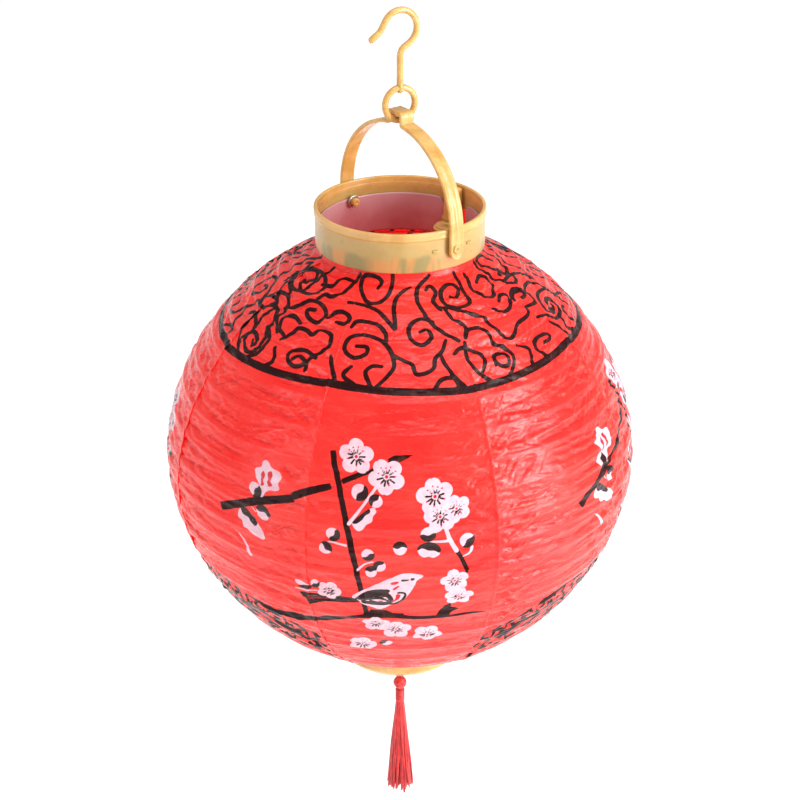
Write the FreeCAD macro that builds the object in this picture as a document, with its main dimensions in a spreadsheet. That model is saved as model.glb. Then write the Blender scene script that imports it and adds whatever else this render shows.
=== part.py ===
import FreeCAD, Part
import math
import os

import Sketcher

# Paper lantern. Lengths are in millimetres and angles in degrees. +Z is up, and the origin is the
# seat under the hook's crook, where the lantern hangs. The handle turns on pegs along X. The paper,
# the cards, the struts and the base plate are turned from the pegs by body_turn.
# Heights below are first counted from the middle of the paper body and then lowered by DROP.

doc = FreeCAD.newDocument("paper_lantern")
sheet = doc.addObject("Spreadsheet::Sheet", "Sizes")

SIZES = [
    ("paper_radius", 100.0),
    ("paper_half_height", 97.4),
    ("paper_roundness", 1.877),
    ("paper_thickness", 0.3),
    ("gore_count", 8),
    ("rib_count", 20),
    ("rib_wire_radius", 0.5),
    ("rib_clearance", 0.03),
    ("rib_margin", 3.0),
    ("ring_radius", 34.9),
    ("ring_wall", 1.2),
    ("ring_height", 16.7),
    ("bead_height", 2.0),
    ("bead_proud", 0.4),
    ("neck_gap", 2.6),
    ("card_thickness", 0.4),
    ("card_below_rim", 7.2),
    ("card_tail", 4.8),
    ("slot_width", 13.0),
    ("strap_width", 6.6),
    ("strap_thickness", 1.6),
    ("strap_clearance", 0.4),
    ("leg_rise", 6.7),
    ("leg_tail", 4.2),
    ("peg_radius", 1.8),
    ("peg_clearance", 0.06),
    ("peg_reach", 4.2),
    ("body_turn", 7.3),
    ("card_hole_clearance", 0.4),
    ("clip_wire_radius", 0.4),
    ("clip_gap", 0.3),
    ("nib_angle", 14.0),
    ("nib_proud", 0.5),
    ("nib_length", 2.8),
    ("nib_height", 1.2),
    ("bridge_rise", 3.7),
    ("bridge_slot", 7.2),
    ("bridge_wall", 1.5),
    ("hook_wire_radius", 1.3),
    ("eye_inner_radius", 5.4),
    ("eye_turn", 9.7),
    ("eye_clearance", 0.4),
    ("hook_height", 28.9),
    ("crook_inner_radius", 6.2),
    ("crook_turn", 150.0),
    ("crook_drop", 3.6),
    ("jog_radius", 4.5),
    ("jog_turn", 60.0),
    ("flare_radius", 5.0),
    ("flare_turn", 25.0),
    ("tip_length", 3.4),
    ("strut_rod_radius", 1.6),
    ("strut_rod_place", 24.0),
    ("collar_radius", 6.1),
    ("collar_thickness", 1.8),
    ("head_width_low", 11.0),
    ("head_width_high", 8.6),
    ("head_thickness", 2.6),
    ("head_set_in", 0.95),
    ("head_below_rim", 0.5),
    ("collar_set_in", 0.4),
    ("collar_gap", 0.1),
    ("cap_radius", 28.4),
    ("cap_wall", 1.4),
    ("cap_floor", 1.2),
    ("cap_depth", 9.9),
    ("cap_round", 3.2),
    ("plate_flange", 3.0),
    ("plate_thickness", 1.4),
    ("plate_plug", 2.2),
    ("plate_edge", 0.8),
    ("plate_clearance", 0.12),
    ("fit_gap", 0.05),
    ("socket_wall", 1.4),
    ("socket_height", 4.0),
    ("cord_radius", 0.75),
    ("cord_hole_radius", 1.3),
    ("cord_drop", 16.6),
    ("stopper_radius", 1.3),
    ("stopper_rise", 2.5),
    ("stopper_gap", 0.5),
    ("cord_tuck", 0.4),
    ("knot_radius", 3.1),
    ("binding_radius", 2.1),
    ("binding_height", 6.6),
    ("binding_gap", 0.3),
    ("skirt_neck_radius", 1.6),
    ("skirt_radius", 6.1),
    ("skirt_length", 48.0),
    ("skirt_shoulder_radius", 2.7),
    ("skirt_shoulder_drop", 3.0),
]

for row, (alias, value) in enumerate(SIZES, start=1):
    sheet.set("A%d" % row, alias)
    sheet.set("B%d" % row, str(value))
    sheet.setAlias("B%d" % row, alias)
doc.recompute()


def size(alias):
    """One driving dimension."""
    return float(sheet.get(alias))


# ---------------------------------------------------------------- derived places

N = size("paper_roundness")


def body_point(turn, inset=0.0):
    """Radius and height on the paper body at a latitude angle, or inset below its outer face."""
    radius = (size("paper_radius") - inset) * math.cos(turn) ** (2 / N)
    rise = (size("paper_half_height") - inset) * abs(math.sin(turn)) ** (2 / N)
    return radius, math.copysign(rise, turn)


def turn_at(radius):
    """Latitude angle at which the outer face of the paper has this radius."""
    return math.acos((radius / size("paper_radius")) ** (N / 2))


def inward_normal(radius, height):
    """Unit vector, in radius and height, that points into the lantern."""
    slope_r = radius ** (N - 1) / size("paper_radius") ** N
    slope_h = abs(height) ** (N - 1) / size("paper_half_height") ** N
    length = math.hypot(slope_r, slope_h)
    return -slope_r / length, -math.copysign(slope_h, height) / length


RING_BORE = size("ring_radius") - size("ring_wall")
TOP_TURN = turn_at(RING_BORE + size("paper_thickness"))
CAP_BORE = size("cap_radius") - size("cap_wall")
LOW_TURN = -turn_at(CAP_BORE + size("paper_thickness") / 2)

SHOULDER = body_point(TOP_TURN)[1]
RING_LOW = SHOULDER + size("neck_gap")
RING_TOP = RING_LOW + size("ring_height")
PIVOT = RING_LOW + size("ring_height") / 2
BEAD_RADIUS = size("ring_radius") + size("bead_proud")
LEG_INSIDE = BEAD_RADIUS + size("strap_clearance")
LEG_OUTSIDE = LEG_INSIDE + size("strap_thickness")
ARCH = PIVOT + size("leg_rise")
APEX = ARCH + (LEG_INSIDE + LEG_OUTSIDE) / 2
PLATE_UNDERSIDE = APEX + size("bridge_rise")

EYE_HALF_CHORD = size("strap_width") / 2 / math.cos(math.radians(size("eye_turn")))
EYE_SEAT = math.sqrt(size("eye_inner_radius") ** 2 - EYE_HALF_CHORD ** 2)
EYE = PLATE_UNDERSIDE + EYE_SEAT - size("eye_clearance")
EYE_CENTRELINE = size("eye_inner_radius") + size("hook_wire_radius")
EYE_TOP = EYE + EYE_CENTRELINE
DROP = EYE_TOP + size("hook_wire_radius") + size("hook_height")

CAP_RIM = body_point(LOW_TURN)[1]
CAP_FLOOR = CAP_RIM - size("cap_depth")
HOLE = CAP_FLOOR + size("cap_floor") / 2
KNOT_TOP = CAP_FLOOR - size("cord_drop")
KNOT_LOW = KNOT_TOP - 2 * size("knot_radius")
BINDING_TOP = KNOT_LOW
BINDING_LOW = BINDING_TOP - size("binding_height")

# Shape of the knot and of the skirt, as shares of their own sizes.
KNOT_CHEEK = 0.82
KNOT_CROWN = 0.42
SKIRT_WAIST = 0.72
SKIRT_HALF = 0.45

# How far two features of one piece run into each other, so that they join.
ROOT = 0.1

GORE_TURN = 360.0 / size("gore_count")


def lowered(turn=0.0):
    """Placement of a sub-part whose heights count from the middle of the paper body."""
    return FreeCAD.Placement(
        FreeCAD.Vector(0, 0, -DROP), FreeCAD.Rotation(FreeCAD.Vector(0, 0, 1), turn)
    )


# ---------------------------------------------------------------- helpers

V = FreeCAD.Vector
PARTS = []


def keep(item, label, placement):
    """Names a sub-part, puts it in its place and marks it for writing."""
    item.Label = label
    item.Placement = placement
    PARTS.append(item)
    return item


def new_body(name):
    return doc.addObject("PartDesign::Body", name)


def plane(body, role):
    for feature in body.Origin.OriginFeatures:
        if feature.Role == role:
            return feature
    raise ValueError(role)


def new_sketch(body, name, role, offset=0.0):
    """A sketch on one of the body's own origin planes, moved along the plane's normal."""
    sketch = body.newObject("Sketcher::SketchObject", name)
    sketch.AttachmentSupport = [(plane(body, role), "")]
    sketch.MapMode = "FlatFace"
    sketch.AttachmentOffset = FreeCAD.Placement(V(0, 0, offset), FreeCAD.Rotation())
    return sketch


def draw_loop(sketch, points):
    """A closed outline of straight edges, each corner held at its own distances."""
    count = len(points)
    for index in range(count):
        here = points[index]
        there = points[(index + 1) % count]
        sketch.addGeometry(Part.LineSegment(V(here[0], here[1], 0), V(there[0], there[1], 0)), False)
    for index in range(count):
        sketch.addConstraint(Sketcher.Constraint("Coincident", index, 2, (index + 1) % count, 1))
    for index, (across, up) in enumerate(points):
        sketch.addConstraint(Sketcher.Constraint("DistanceX", -1, 1, index, 1, across))
        sketch.addConstraint(Sketcher.Constraint("DistanceY", -1, 1, index, 1, up))


def draw_circle(sketch, across, up, radius, formula):
    """A circle whose radius is bound to driving dimensions."""
    edge = sketch.addGeometry(Part.Circle(V(across, up, 0), V(0, 0, 1), radius), False)
    sketch.addConstraint(Sketcher.Constraint("DistanceX", -1, 1, edge, 3, across))
    sketch.addConstraint(Sketcher.Constraint("DistanceY", -1, 1, edge, 3, up))
    number = sketch.addConstraint(Sketcher.Constraint("Radius", edge, radius))
    sketch.setExpression("Constraints[%d]" % number, formula)


def revolve(body, name, points, angle=360.0):
    """A closed outline in the XZ plane, given as (radius, height), turned about Z."""
    sketch = new_sketch(body, name + "_outline", "XZ_Plane")
    draw_loop(sketch, points)
    feature = body.newObject("PartDesign::Revolution", name)
    feature.Profile = sketch
    feature.ReferenceAxis = (sketch, ["V_Axis"])
    feature.Angle = angle
    feature.Midplane = angle < 360
    doc.recompute()
    return feature


def cut_peg_bore(body, name, clearance, turn=0.0):
    """A hole for the pegs, right through the body, wider than a peg and turned from the body's X."""
    sketch = new_sketch(body, name + "_outline", "YZ_Plane")
    sketch.AttachmentOffset = FreeCAD.Placement(V(0, 0, 0), FreeCAD.Rotation(V(0, 1, 0), turn))
    draw_circle(sketch, 0.0, PIVOT, size("peg_radius") + size(clearance),
                "Sizes.peg_radius + Sizes." + clearance)
    before = body.Shape.Volume
    feature = body.newObject("PartDesign::Pocket", name)
    feature.Profile = sketch
    feature.Type = "ThroughAll"
    feature.Midplane = True
    doc.recompute()
    if feature.Shape.Volume >= before:
        raise ValueError("%s cuts nothing" % name)
    return feature


def pad(body, name, sketch, alias):
    """A sketch raised by a driving dimension."""
    feature = body.newObject("PartDesign::Pad", name)
    feature.Profile = sketch
    feature.setExpression("Length", "Sizes." + alias)
    doc.recompute()
    return feature


def add_cylinder(body, name, alias, height, placement):
    """A solid cylinder whose radius is a driving dimension."""
    feature = body.newObject("PartDesign::AdditiveCylinder", name)
    feature.setExpression("Radius", "Sizes." + alias)
    feature.Height = height
    feature.Placement = placement
    doc.recompute()
    return feature


# ---------------------------------------------------------------- hook

def hook():
    """An open crook, a straight shank and a round eye, in one plane that is turned about Z."""
    body = new_body("hook_body")
    wire = size("hook_wire_radius")
    bend = size("crook_inner_radius") + wire
    centre = -size("crook_inner_radius")
    shank_low = EYE_TOP - DROP
    leave = math.radians(size("jog_turn"))
    jog = size("jog_radius")
    # The shank bends aside, runs straight and meets the crook on its right.
    meet = V(bend * math.cos(leave), centre - bend * math.sin(leave), 0)
    run = (meet.x - jog * (1 - math.cos(leave))) / math.sin(leave)
    jog_end = V(meet.x - run * math.sin(leave), meet.y - run * math.cos(leave), 0)
    jog_start = V(0, jog_end.y - jog * math.sin(leave), 0)
    jog_middle = V(jog * (1 - math.cos(leave / 2)), jog_start.y + jog * math.sin(leave / 2), 0)
    # Past its top the crook runs down and flares out to the tip.
    far = math.radians(size("crook_turn"))
    drop_start = V(bend * math.cos(far), centre + bend * math.sin(far), 0)
    drop_end = drop_start + V(-math.sin(far), math.cos(far), 0) * size("crook_drop")
    flare = size("flare_radius")
    out = math.radians(size("flare_turn"))
    flare_centre = drop_end + V(math.cos(far), math.sin(far), 0) * flare
    flare_middle = flare_centre - V(math.cos(far - out / 2), math.sin(far - out / 2), 0) * flare
    flare_end = flare_centre - V(math.cos(far - out), math.sin(far - out), 0) * flare
    tip = flare_end + V(-math.sin(far - out), math.cos(far - out), 0) * size("tip_length")

    path = new_sketch(body, "hook_path", "XZ_Plane")
    path.addGeometry(Part.LineSegment(V(0, shank_low, 0), jog_start), False)
    path.addGeometry(Part.Arc(jog_start, jog_middle, jog_end), False)
    path.addGeometry(Part.LineSegment(jog_end, meet), False)
    path.addGeometry(Part.Arc(meet, V(0, centre + bend, 0), drop_start), False)
    path.addGeometry(Part.LineSegment(drop_start, drop_end), False)
    path.addGeometry(Part.Arc(drop_end, flare_middle, flare_end), False)
    path.addGeometry(Part.LineSegment(flare_end, tip), False)
    section = new_sketch(body, "hook_section", "XY_Plane", shank_low)
    draw_circle(section, 0.0, 0.0, wire, "Sizes.hook_wire_radius")
    doc.recompute()
    pipe = body.newObject("PartDesign::AdditivePipe", "hook_rod")
    pipe.Profile = section
    pipe.Spine = path
    doc.recompute()

    eye = body.newObject("PartDesign::AdditiveTorus", "hook_eye")
    eye.setExpression("Radius1", "Sizes.eye_inner_radius + Sizes.hook_wire_radius")
    eye.setExpression("Radius2", "Sizes.hook_wire_radius")
    eye.Placement = FreeCAD.Placement(V(0, 0, EYE - DROP), FreeCAD.Rotation(V(1, 0, 0), 90))
    end = body.newObject("PartDesign::AdditiveSphere", "hook_tip")
    end.setExpression("Radius", "Sizes.hook_wire_radius")
    end.Placement = FreeCAD.Placement(V(tip.x, 0, tip.y), FreeCAD.Rotation())
    doc.recompute()
    turn = 90 - size("eye_turn")
    keep(body, "hook", FreeCAD.Placement(V(0, 0, 0), FreeCAD.Rotation(V(0, 0, 1), turn)))


# ---------------------------------------------------------------- handle

def handle():
    """A strap arch with rounded legs, a stepped bridge for the eye and a peg inside each leg."""
    body = new_body("handle_body")
    low = PIVOT - size("leg_tail")
    thickness = size("strap_thickness")
    slot = size("bridge_slot") / 2
    wall = slot + size("bridge_wall")
    top = PLATE_UNDERSIDE + thickness
    outer_step = ARCH + math.sqrt(LEG_OUTSIDE ** 2 - wall ** 2)
    inner_step = ARCH + math.sqrt(LEG_INSIDE ** 2 - slot ** 2)
    half = math.radians(45)
    outer_middle = V(LEG_OUTSIDE * math.cos(half), ARCH + LEG_OUTSIDE * math.sin(half), 0)
    inner_middle = V(LEG_INSIDE * math.cos(half), ARCH + LEG_INSIDE * math.sin(half), 0)

    def mirrored(point):
        return V(-point.x, point.y, 0)

    right = [
        Part.LineSegment(V(LEG_INSIDE, low, 0), V(LEG_OUTSIDE, low, 0)),
        Part.LineSegment(V(LEG_OUTSIDE, low, 0), V(LEG_OUTSIDE, ARCH, 0)),
        Part.Arc(V(LEG_OUTSIDE, ARCH, 0), outer_middle, V(wall, outer_step, 0)),
        Part.LineSegment(V(wall, outer_step, 0), V(wall, top, 0)),
    ]
    left = [
        Part.LineSegment(V(-wall, top, 0), V(-wall, outer_step, 0)),
        Part.Arc(V(-wall, outer_step, 0), mirrored(outer_middle), V(-LEG_OUTSIDE, ARCH, 0)),
        Part.LineSegment(V(-LEG_OUTSIDE, ARCH, 0), V(-LEG_OUTSIDE, low, 0)),
        Part.LineSegment(V(-LEG_OUTSIDE, low, 0), V(-LEG_INSIDE, low, 0)),
        Part.LineSegment(V(-LEG_INSIDE, low, 0), V(-LEG_INSIDE, ARCH, 0)),
        Part.Arc(V(-LEG_INSIDE, ARCH, 0), mirrored(inner_middle), V(-slot, inner_step, 0)),
        Part.LineSegment(V(-slot, inner_step, 0), V(-slot, PLATE_UNDERSIDE, 0)),
    ]
    back = [
        Part.LineSegment(V(slot, PLATE_UNDERSIDE, 0), V(slot, inner_step, 0)),
        Part.Arc(V(slot, inner_step, 0), inner_middle, V(LEG_INSIDE, ARCH, 0)),
        Part.LineSegment(V(LEG_INSIDE, ARCH, 0), V(LEG_INSIDE, low, 0)),
    ]
    over = [Part.LineSegment(V(wall, top, 0), V(-wall, top, 0))]
    under = [Part.LineSegment(V(-slot, PLATE_UNDERSIDE, 0), V(slot, PLATE_UNDERSIDE, 0))]
    outline = new_sketch(body, "handle_outline", "XZ_Plane")
    for edge in right + over + left + under + back:
        outline.addGeometry(edge, False)
    strap = pad(body, "handle_strap", outline, "strap_width")
    strap.Midplane = True
    doc.recompute()

    ends = []
    for index, edge in enumerate(strap.Shape.Edges, start=1):
        middle = edge.CenterOfMass
        across = abs(edge.Vertexes[0].X - edge.Vertexes[-1].X) > thickness / 2
        at_side = abs(middle.y) > size("strap_width") / 4
        if across and at_side and abs(middle.z - low) < thickness / 10:
            ends.append("Edge%d" % index)
    rounding = body.newObject("PartDesign::Fillet", "handle_ends")
    rounding.Base = (strap, ends)
    rounding.setExpression("Radius", "Sizes.strap_width * 0.48")
    doc.recompute()

    peg_length = LEG_INSIDE - RING_BORE + size("peg_reach")
    for side in (1, -1):
        place = FreeCAD.Placement(V(side * (LEG_INSIDE + ROOT), 0, PIVOT),
                                  FreeCAD.Rotation(V(0, 1, 0), -90 * side))
        add_cylinder(body, "handle_peg_%s" % ("right" if side > 0 else "left"),
                     "peg_radius", peg_length + ROOT, place)
    keep(body, "handle", lowered())


def peg_clips():
    """Two spring-wire rings that hold the handle's pegs in the ring, one on each."""
    rings = []
    place = RING_BORE - size("card_thickness") - size("clip_gap") - size("clip_wire_radius")
    for side, name in ((1, "right"), (-1, "left")):
        ring = doc.addObject("Part::Torus", "clip_" + name)
        ring.setExpression("Radius1", "Sizes.peg_radius + Sizes.clip_wire_radius")
        ring.setExpression("Radius2", "Sizes.clip_wire_radius")
        ring.Placement = FreeCAD.Placement(V(side * place, 0, PIVOT),
                                           FreeCAD.Rotation(V(0, 1, 0), 90))
        rings.append(ring)
    pair = doc.addObject("Part::Compound", "clips")
    pair.Links = rings
    doc.recompute()
    keep(pair, "peg_clips", lowered())


# ---------------------------------------------------------------- top ring and its cards

def top_ring():
    """A collar with a bead at its rim, two bores for the pegs and a nib each side of each bore."""
    body = new_body("ring_body")
    wall = size("ring_radius")
    under_bead = RING_TOP - size("bead_height")
    revolve(body, "ring_wall", [
        (RING_BORE, RING_LOW),
        (wall, RING_LOW),
        (wall, under_bead - size("bead_proud")),
        (BEAD_RADIUS, under_bead),
        (BEAD_RADIUS, RING_TOP),
        (RING_BORE, RING_TOP),
    ])
    nib_depth = size("ring_wall") / 2 + size("nib_proud")
    nib_length = size("nib_length")
    nib_height = size("nib_height")
    for index in range(4):
        side = 0 if index < 2 else 180
        angle = side + size("nib_angle") * (1 if index % 2 else -1)
        turned = FreeCAD.Rotation(V(0, 0, 1), angle)
        nib = body.newObject("PartDesign::AdditiveBox", "ring_nib_%d" % (index + 1))
        nib.Length = nib_depth
        nib.setExpression("Width", "Sizes.nib_length")
        nib.setExpression("Height", "Sizes.nib_height")
        corner = turned.multVec(V(wall - size("ring_wall") / 2, -nib_length / 2, 0))
        nib.Placement = FreeCAD.Placement(corner + V(0, 0, PIVOT - nib_height / 2), turned)
        doc.recompute()
    cut_peg_bore(body, "ring_bores", "peg_clearance")
    keep(body, "top_ring", lowered())


def neck_cards():
    """Two curved cards inside the ring, with a slot between their ends for each strut."""
    slot = 2 * math.degrees(math.asin(size("slot_width") / 2 / RING_BORE))
    low = SHOULDER - size("card_tail")
    high = RING_TOP - size("card_below_rim")
    inside = RING_BORE - size("card_thickness")
    for turn, name in ((0, "right"), (180, "left")):
        body = new_body("card_" + name)
        revolve(body, "card_strip_" + name, [
            (inside, low), (RING_BORE, low), (RING_BORE, high), (inside, high),
        ], 180 - slot)
        cut_peg_bore(body, "card_hole_" + name, "card_hole_clearance", -size("body_turn"))
        keep(body, "neck_card_" + name, lowered(turn + size("body_turn")))


# ---------------------------------------------------------------- struts

def struts():
    """Two legs that hold the ring and the cap apart: a head inside the ring, a collar, a rod."""
    collar_top = RING_LOW - size("collar_gap")
    collar_low = collar_top - size("collar_thickness")
    collar_place = size("ring_radius") - size("collar_set_in") - size("collar_radius")
    head_face = RING_BORE - size("head_set_in")
    head_low = collar_top - ROOT
    head_high = RING_TOP - size("head_below_rim")
    low_half = size("head_width_low") / 2
    high_half = size("head_width_high") / 2
    plate_top = CAP_RIM + size("plate_thickness")
    for turn, name in ((0, "front"), (180, "back")):
        body = new_body("strut_" + name)
        disc = new_sketch(body, "collar_outline_" + name, "XY_Plane", collar_low)
        draw_circle(disc, 0.0, -collar_place, size("collar_radius"), "Sizes.collar_radius")
        pad(body, "collar_" + name, disc, "collar_thickness")
        taper = new_sketch(body, "head_outline_" + name, "XZ_Plane",
                           head_face - size("head_thickness"))
        draw_loop(taper, [
            (-low_half, head_low), (low_half, head_low),
            (high_half, head_high), (-high_half, head_high),
        ])
        pad(body, "head_" + name, taper, "head_thickness")
        foot = FreeCAD.Placement(V(0, -size("strut_rod_place"), plate_top), FreeCAD.Rotation())
        add_cylinder(body, "rod_" + name, "strut_rod_radius",
                     collar_low + ROOT - plate_top, foot)
        keep(body, "strut_" + name, lowered(turn + size("body_turn")))


# ---------------------------------------------------------------- paper and ribs

def paper_face():
    """The section of one gore: two curves a paper's thickness apart, joined at their ends."""
    stations = 17
    outer = []
    inner = []
    for index in range(stations):
        turn = LOW_TURN + (TOP_TURN - LOW_TURN) * index / (stations - 1)
        radius, height = body_point(turn)
        outer.append(V(radius, 0, height))
        radius, height = body_point(turn, size("paper_thickness"))
        inner.append(V(radius, 0, height))
    edges = []
    for points in (outer, inner):
        curve = Part.BSplineCurve()
        curve.interpolate(points)
        edges.append(curve.toShape())
    edges.append(Part.LineSegment(outer[0], inner[0]).toShape())
    edges.append(Part.LineSegment(outer[-1], inner[-1]).toShape())
    return Part.Face(Part.Wire(Part.__sortEdges__(edges)))


def gores():
    """The paper panels, each one turn of the section between two upright seams."""
    section = paper_face()
    section.rotate(V(0, 0, 0), V(0, 0, 1), -GORE_TURN / 2)
    panel = section.revolve(V(0, 0, 0), V(0, 0, 1), GORE_TURN)
    for index in range(int(size("gore_count"))):
        gore = doc.addObject("Part::Feature", "gore_%d" % (index + 1))
        gore.Shape = panel
        keep(gore, "paper_gore_%d" % (index + 1), lowered(index * GORE_TURN + size("body_turn")))


def rib_hoops():
    """Level steel hoops that lie against the inside of the paper, evenly spaced along it."""
    count = int(size("rib_count"))
    first = LOW_TURN + math.radians(size("rib_margin"))
    last = TOP_TURN - math.radians(size("rib_margin"))
    depth = size("rib_wire_radius") + size("rib_clearance")
    for index in range(count):
        turn = last + (first - last) * index / (count - 1)
        radius, height = body_point(turn, size("paper_thickness"))
        inward_r, inward_h = inward_normal(radius, height)
        hoop = doc.addObject("Part::Torus", "hoop_%02d" % (index + 1))
        hoop.Radius1 = radius + inward_r * depth
        hoop.setExpression("Radius2", "Sizes.rib_wire_radius")
        place = lowered()
        place.Base.z += height + inward_h * depth
        keep(hoop, "rib_hoop_%02d" % (index + 1), place)


# ---------------------------------------------------------------- bottom cap and base plate

def bottom_cap():
    """A shallow dish whose rim meets the paper, with a hole for the tassel's cord."""
    body = new_body("cap_body")
    outside = size("cap_radius")
    rim = body_point(-turn_at(outside))[1]
    hole = size("cord_hole_radius")
    floor = CAP_FLOOR + size("cap_floor")
    step = size("cap_round")
    # The sloping edge is as thick as the wall, measured square to its 45-degree slope.
    slant = size("cap_wall") * math.sqrt(2)
    revolve(body, "cap_dish", [
        (hole, CAP_FLOOR),
        (outside - step, CAP_FLOOR),
        (outside, CAP_FLOOR + step),
        (outside, rim - size("fit_gap")),
        (CAP_BORE, CAP_RIM - size("fit_gap")),
        (CAP_BORE, CAP_FLOOR + step + slant - size("cap_wall")),
        (outside - step - slant + size("cap_floor"), floor),
        (hole, floor),
    ])
    keep(body, "bottom_cap", lowered())


def base_plate():
    """A plug with a flange over the paper's lower edge and a socket for each strut."""
    body = new_body("plate_body")
    plug = CAP_BORE - size("fit_gap")
    flange = CAP_BORE + size("plate_flange")
    over_paper = size("paper_thickness") + size("plate_clearance")
    paper_at_plug = CAP_RIM + over_paper
    paper_at_flange = body_point(-turn_at(flange))[1] + over_paper
    top = CAP_RIM + size("plate_thickness")
    revolve(body, "plate_plug", [
        (0, CAP_RIM - size("plate_plug")),
        (plug, CAP_RIM - size("plate_plug")),
        (plug, paper_at_plug),
        (flange, paper_at_flange),
        (flange, paper_at_flange + size("plate_edge")),
        (plug, top),
        (0, top),
    ])
    inner = size("strut_rod_radius") + size("fit_gap")
    for side, name in ((1, "back"), (-1, "front")):
        sketch = new_sketch(body, "socket_outline_" + name, "XY_Plane", top)
        place = side * size("strut_rod_place")
        bore = "Sizes.strut_rod_radius + Sizes.fit_gap"
        draw_circle(sketch, 0.0, place, inner + size("socket_wall"), bore + " + Sizes.socket_wall")
        draw_circle(sketch, 0.0, place, inner, bore)
        pad(body, "socket_" + name, sketch, "socket_height")
    keep(body, "base_plate", lowered(size("body_turn")))


# ---------------------------------------------------------------- tassel

def tassel():
    """A stopper inside the cap, a cord through its hole, and the knot, binding and skirt on it."""
    stopper_up = HOLE + size("stopper_rise")
    stopper = doc.addObject("Part::Sphere", "stopper_bead")
    stopper.setExpression("Radius", "Sizes.stopper_radius")
    keep(stopper, "tassel_stopper",
         FreeCAD.Placement(V(0, 0, stopper_up - DROP), FreeCAD.Rotation()))

    # The cord starts under the stopper and runs on down through the knot and the binding.
    cord_top = stopper_up - size("stopper_radius") - size("stopper_gap")
    cord_low = BINDING_LOW + size("cord_tuck")
    cord = doc.addObject("Part::Cylinder", "cord")
    cord.setExpression("Radius", "Sizes.cord_radius")
    cord.Height = cord_top - cord_low
    keep(cord, "tassel_cord", FreeCAD.Placement(V(0, 0, cord_low - DROP), FreeCAD.Rotation()))

    wide = size("knot_radius")
    neck = size("skirt_neck_radius")
    core = size("cord_radius")
    knot = new_body("knot_body")
    revolve(knot, "knot_round", [
        (core, KNOT_LOW),
        (neck, KNOT_LOW),
        (wide * KNOT_CHEEK, KNOT_LOW + wide * KNOT_CROWN),
        (wide, KNOT_LOW + wide),
        (wide * KNOT_CHEEK, KNOT_TOP - wide * KNOT_CROWN),
        (wide * KNOT_CROWN, KNOT_TOP),
        (core, KNOT_TOP),
    ])
    keep(knot, "tassel_knot", lowered())

    wrap_top = BINDING_TOP - size("binding_gap")
    wrap = new_body("binding_body")
    revolve(wrap, "binding_wrap", [
        (neck, BINDING_LOW),
        (size("binding_radius"), BINDING_LOW),
        (size("binding_radius"), wrap_top),
        (neck, wrap_top),
    ])
    keep(wrap, "tassel_binding", lowered())

    hem = BINDING_LOW - size("skirt_length")
    skirt = new_body("skirt_body")
    revolve(skirt, "skirt_strands", [
        (0, hem),
        (size("skirt_radius"), hem),
        (size("skirt_radius") * SKIRT_WAIST, BINDING_LOW - size("skirt_length") * SKIRT_HALF),
        (size("skirt_shoulder_radius"), BINDING_LOW - size("skirt_shoulder_drop")),
        (neck, BINDING_LOW),
        (neck, BINDING_TOP),
        (core, BINDING_TOP),
        (core, cord_low),
        (0, cord_low),
    ])
    keep(skirt, "tassel_skirt", lowered())


# ---------------------------------------------------------------- build, check and write

for make in (hook, handle, peg_clips, top_ring, neck_cards, struts, gores, rib_hoops,
             bottom_cap, base_plate, tassel):
    make()
doc.recompute()

for item in doc.Objects:
    if "Invalid" in item.State or "Error" in item.State:
        raise ValueError("%s did not compute: %s" % (item.Label, item.State))
for item in PARTS:
    if item.Shape.isNull() or not item.Shape.isValid():
        raise ValueError("%s has no valid shape" % item.Label)

os.makedirs("parts", exist_ok=True)
for item in PARTS:
    item.Shape.exportStep("parts/%s.step" % item.Label)
print("%d sub-parts" % len(PARTS))
print("lengths in mm: eye axis %.3f, pegs %.3f, cord hole %.3f"
      % (EYE - EYE_CENTRELINE - DROP, PIVOT - DROP, HOLE - DROP))
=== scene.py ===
import math

import bpy
import numpy as np
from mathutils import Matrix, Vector


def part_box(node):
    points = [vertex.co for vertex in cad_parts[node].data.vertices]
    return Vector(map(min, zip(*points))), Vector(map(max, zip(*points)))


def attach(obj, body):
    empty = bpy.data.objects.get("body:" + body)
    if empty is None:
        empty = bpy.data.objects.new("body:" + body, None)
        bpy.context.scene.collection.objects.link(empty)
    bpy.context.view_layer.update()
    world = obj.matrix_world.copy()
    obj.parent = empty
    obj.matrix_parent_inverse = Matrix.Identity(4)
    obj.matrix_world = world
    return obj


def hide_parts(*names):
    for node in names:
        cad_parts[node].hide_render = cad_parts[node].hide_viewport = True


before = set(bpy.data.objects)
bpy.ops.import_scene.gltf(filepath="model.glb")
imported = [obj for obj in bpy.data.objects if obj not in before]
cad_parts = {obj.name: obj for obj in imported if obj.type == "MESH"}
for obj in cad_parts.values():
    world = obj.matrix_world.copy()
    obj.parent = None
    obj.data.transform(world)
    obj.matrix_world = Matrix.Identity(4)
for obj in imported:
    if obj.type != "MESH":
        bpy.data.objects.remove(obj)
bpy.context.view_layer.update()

MM = 0.001
RNG = np.random.default_rng(20)

# ------------------------------------------------------------------ places, in mm, read from the frame

def heights(node):
    """The lowest and highest points of a CAD node, in mm."""
    low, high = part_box(node)
    return low.z / MM, high.z / MM


RING_LOW, RING_TOP = heights("top_ring")
PAPER_TOP = heights("paper_gore_1")[1]
CAP_LOW, CAP_TOP = heights("bottom_cap")
KNOT_LOW, KNOT_TOP = heights("tassel_knot")
BINDING_LOW = heights("tassel_binding")[0]
SKIRT_LOW = heights("tassel_skirt")[0]
STOPPER_MID = sum(heights("tassel_stopper")) / 2
PIVOT = sum(heights("peg_clips")) / 2
HANDLE_LOW, HANDLE_TOP = heights("handle")
HOOK_LOW = heights("hook")[0]
STRUT_TOP = heights("strut_back")[1]
PLATE_TOP = heights("base_plate")[1]

# ------------------------------------------------------------------ sizes, in mm

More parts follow.
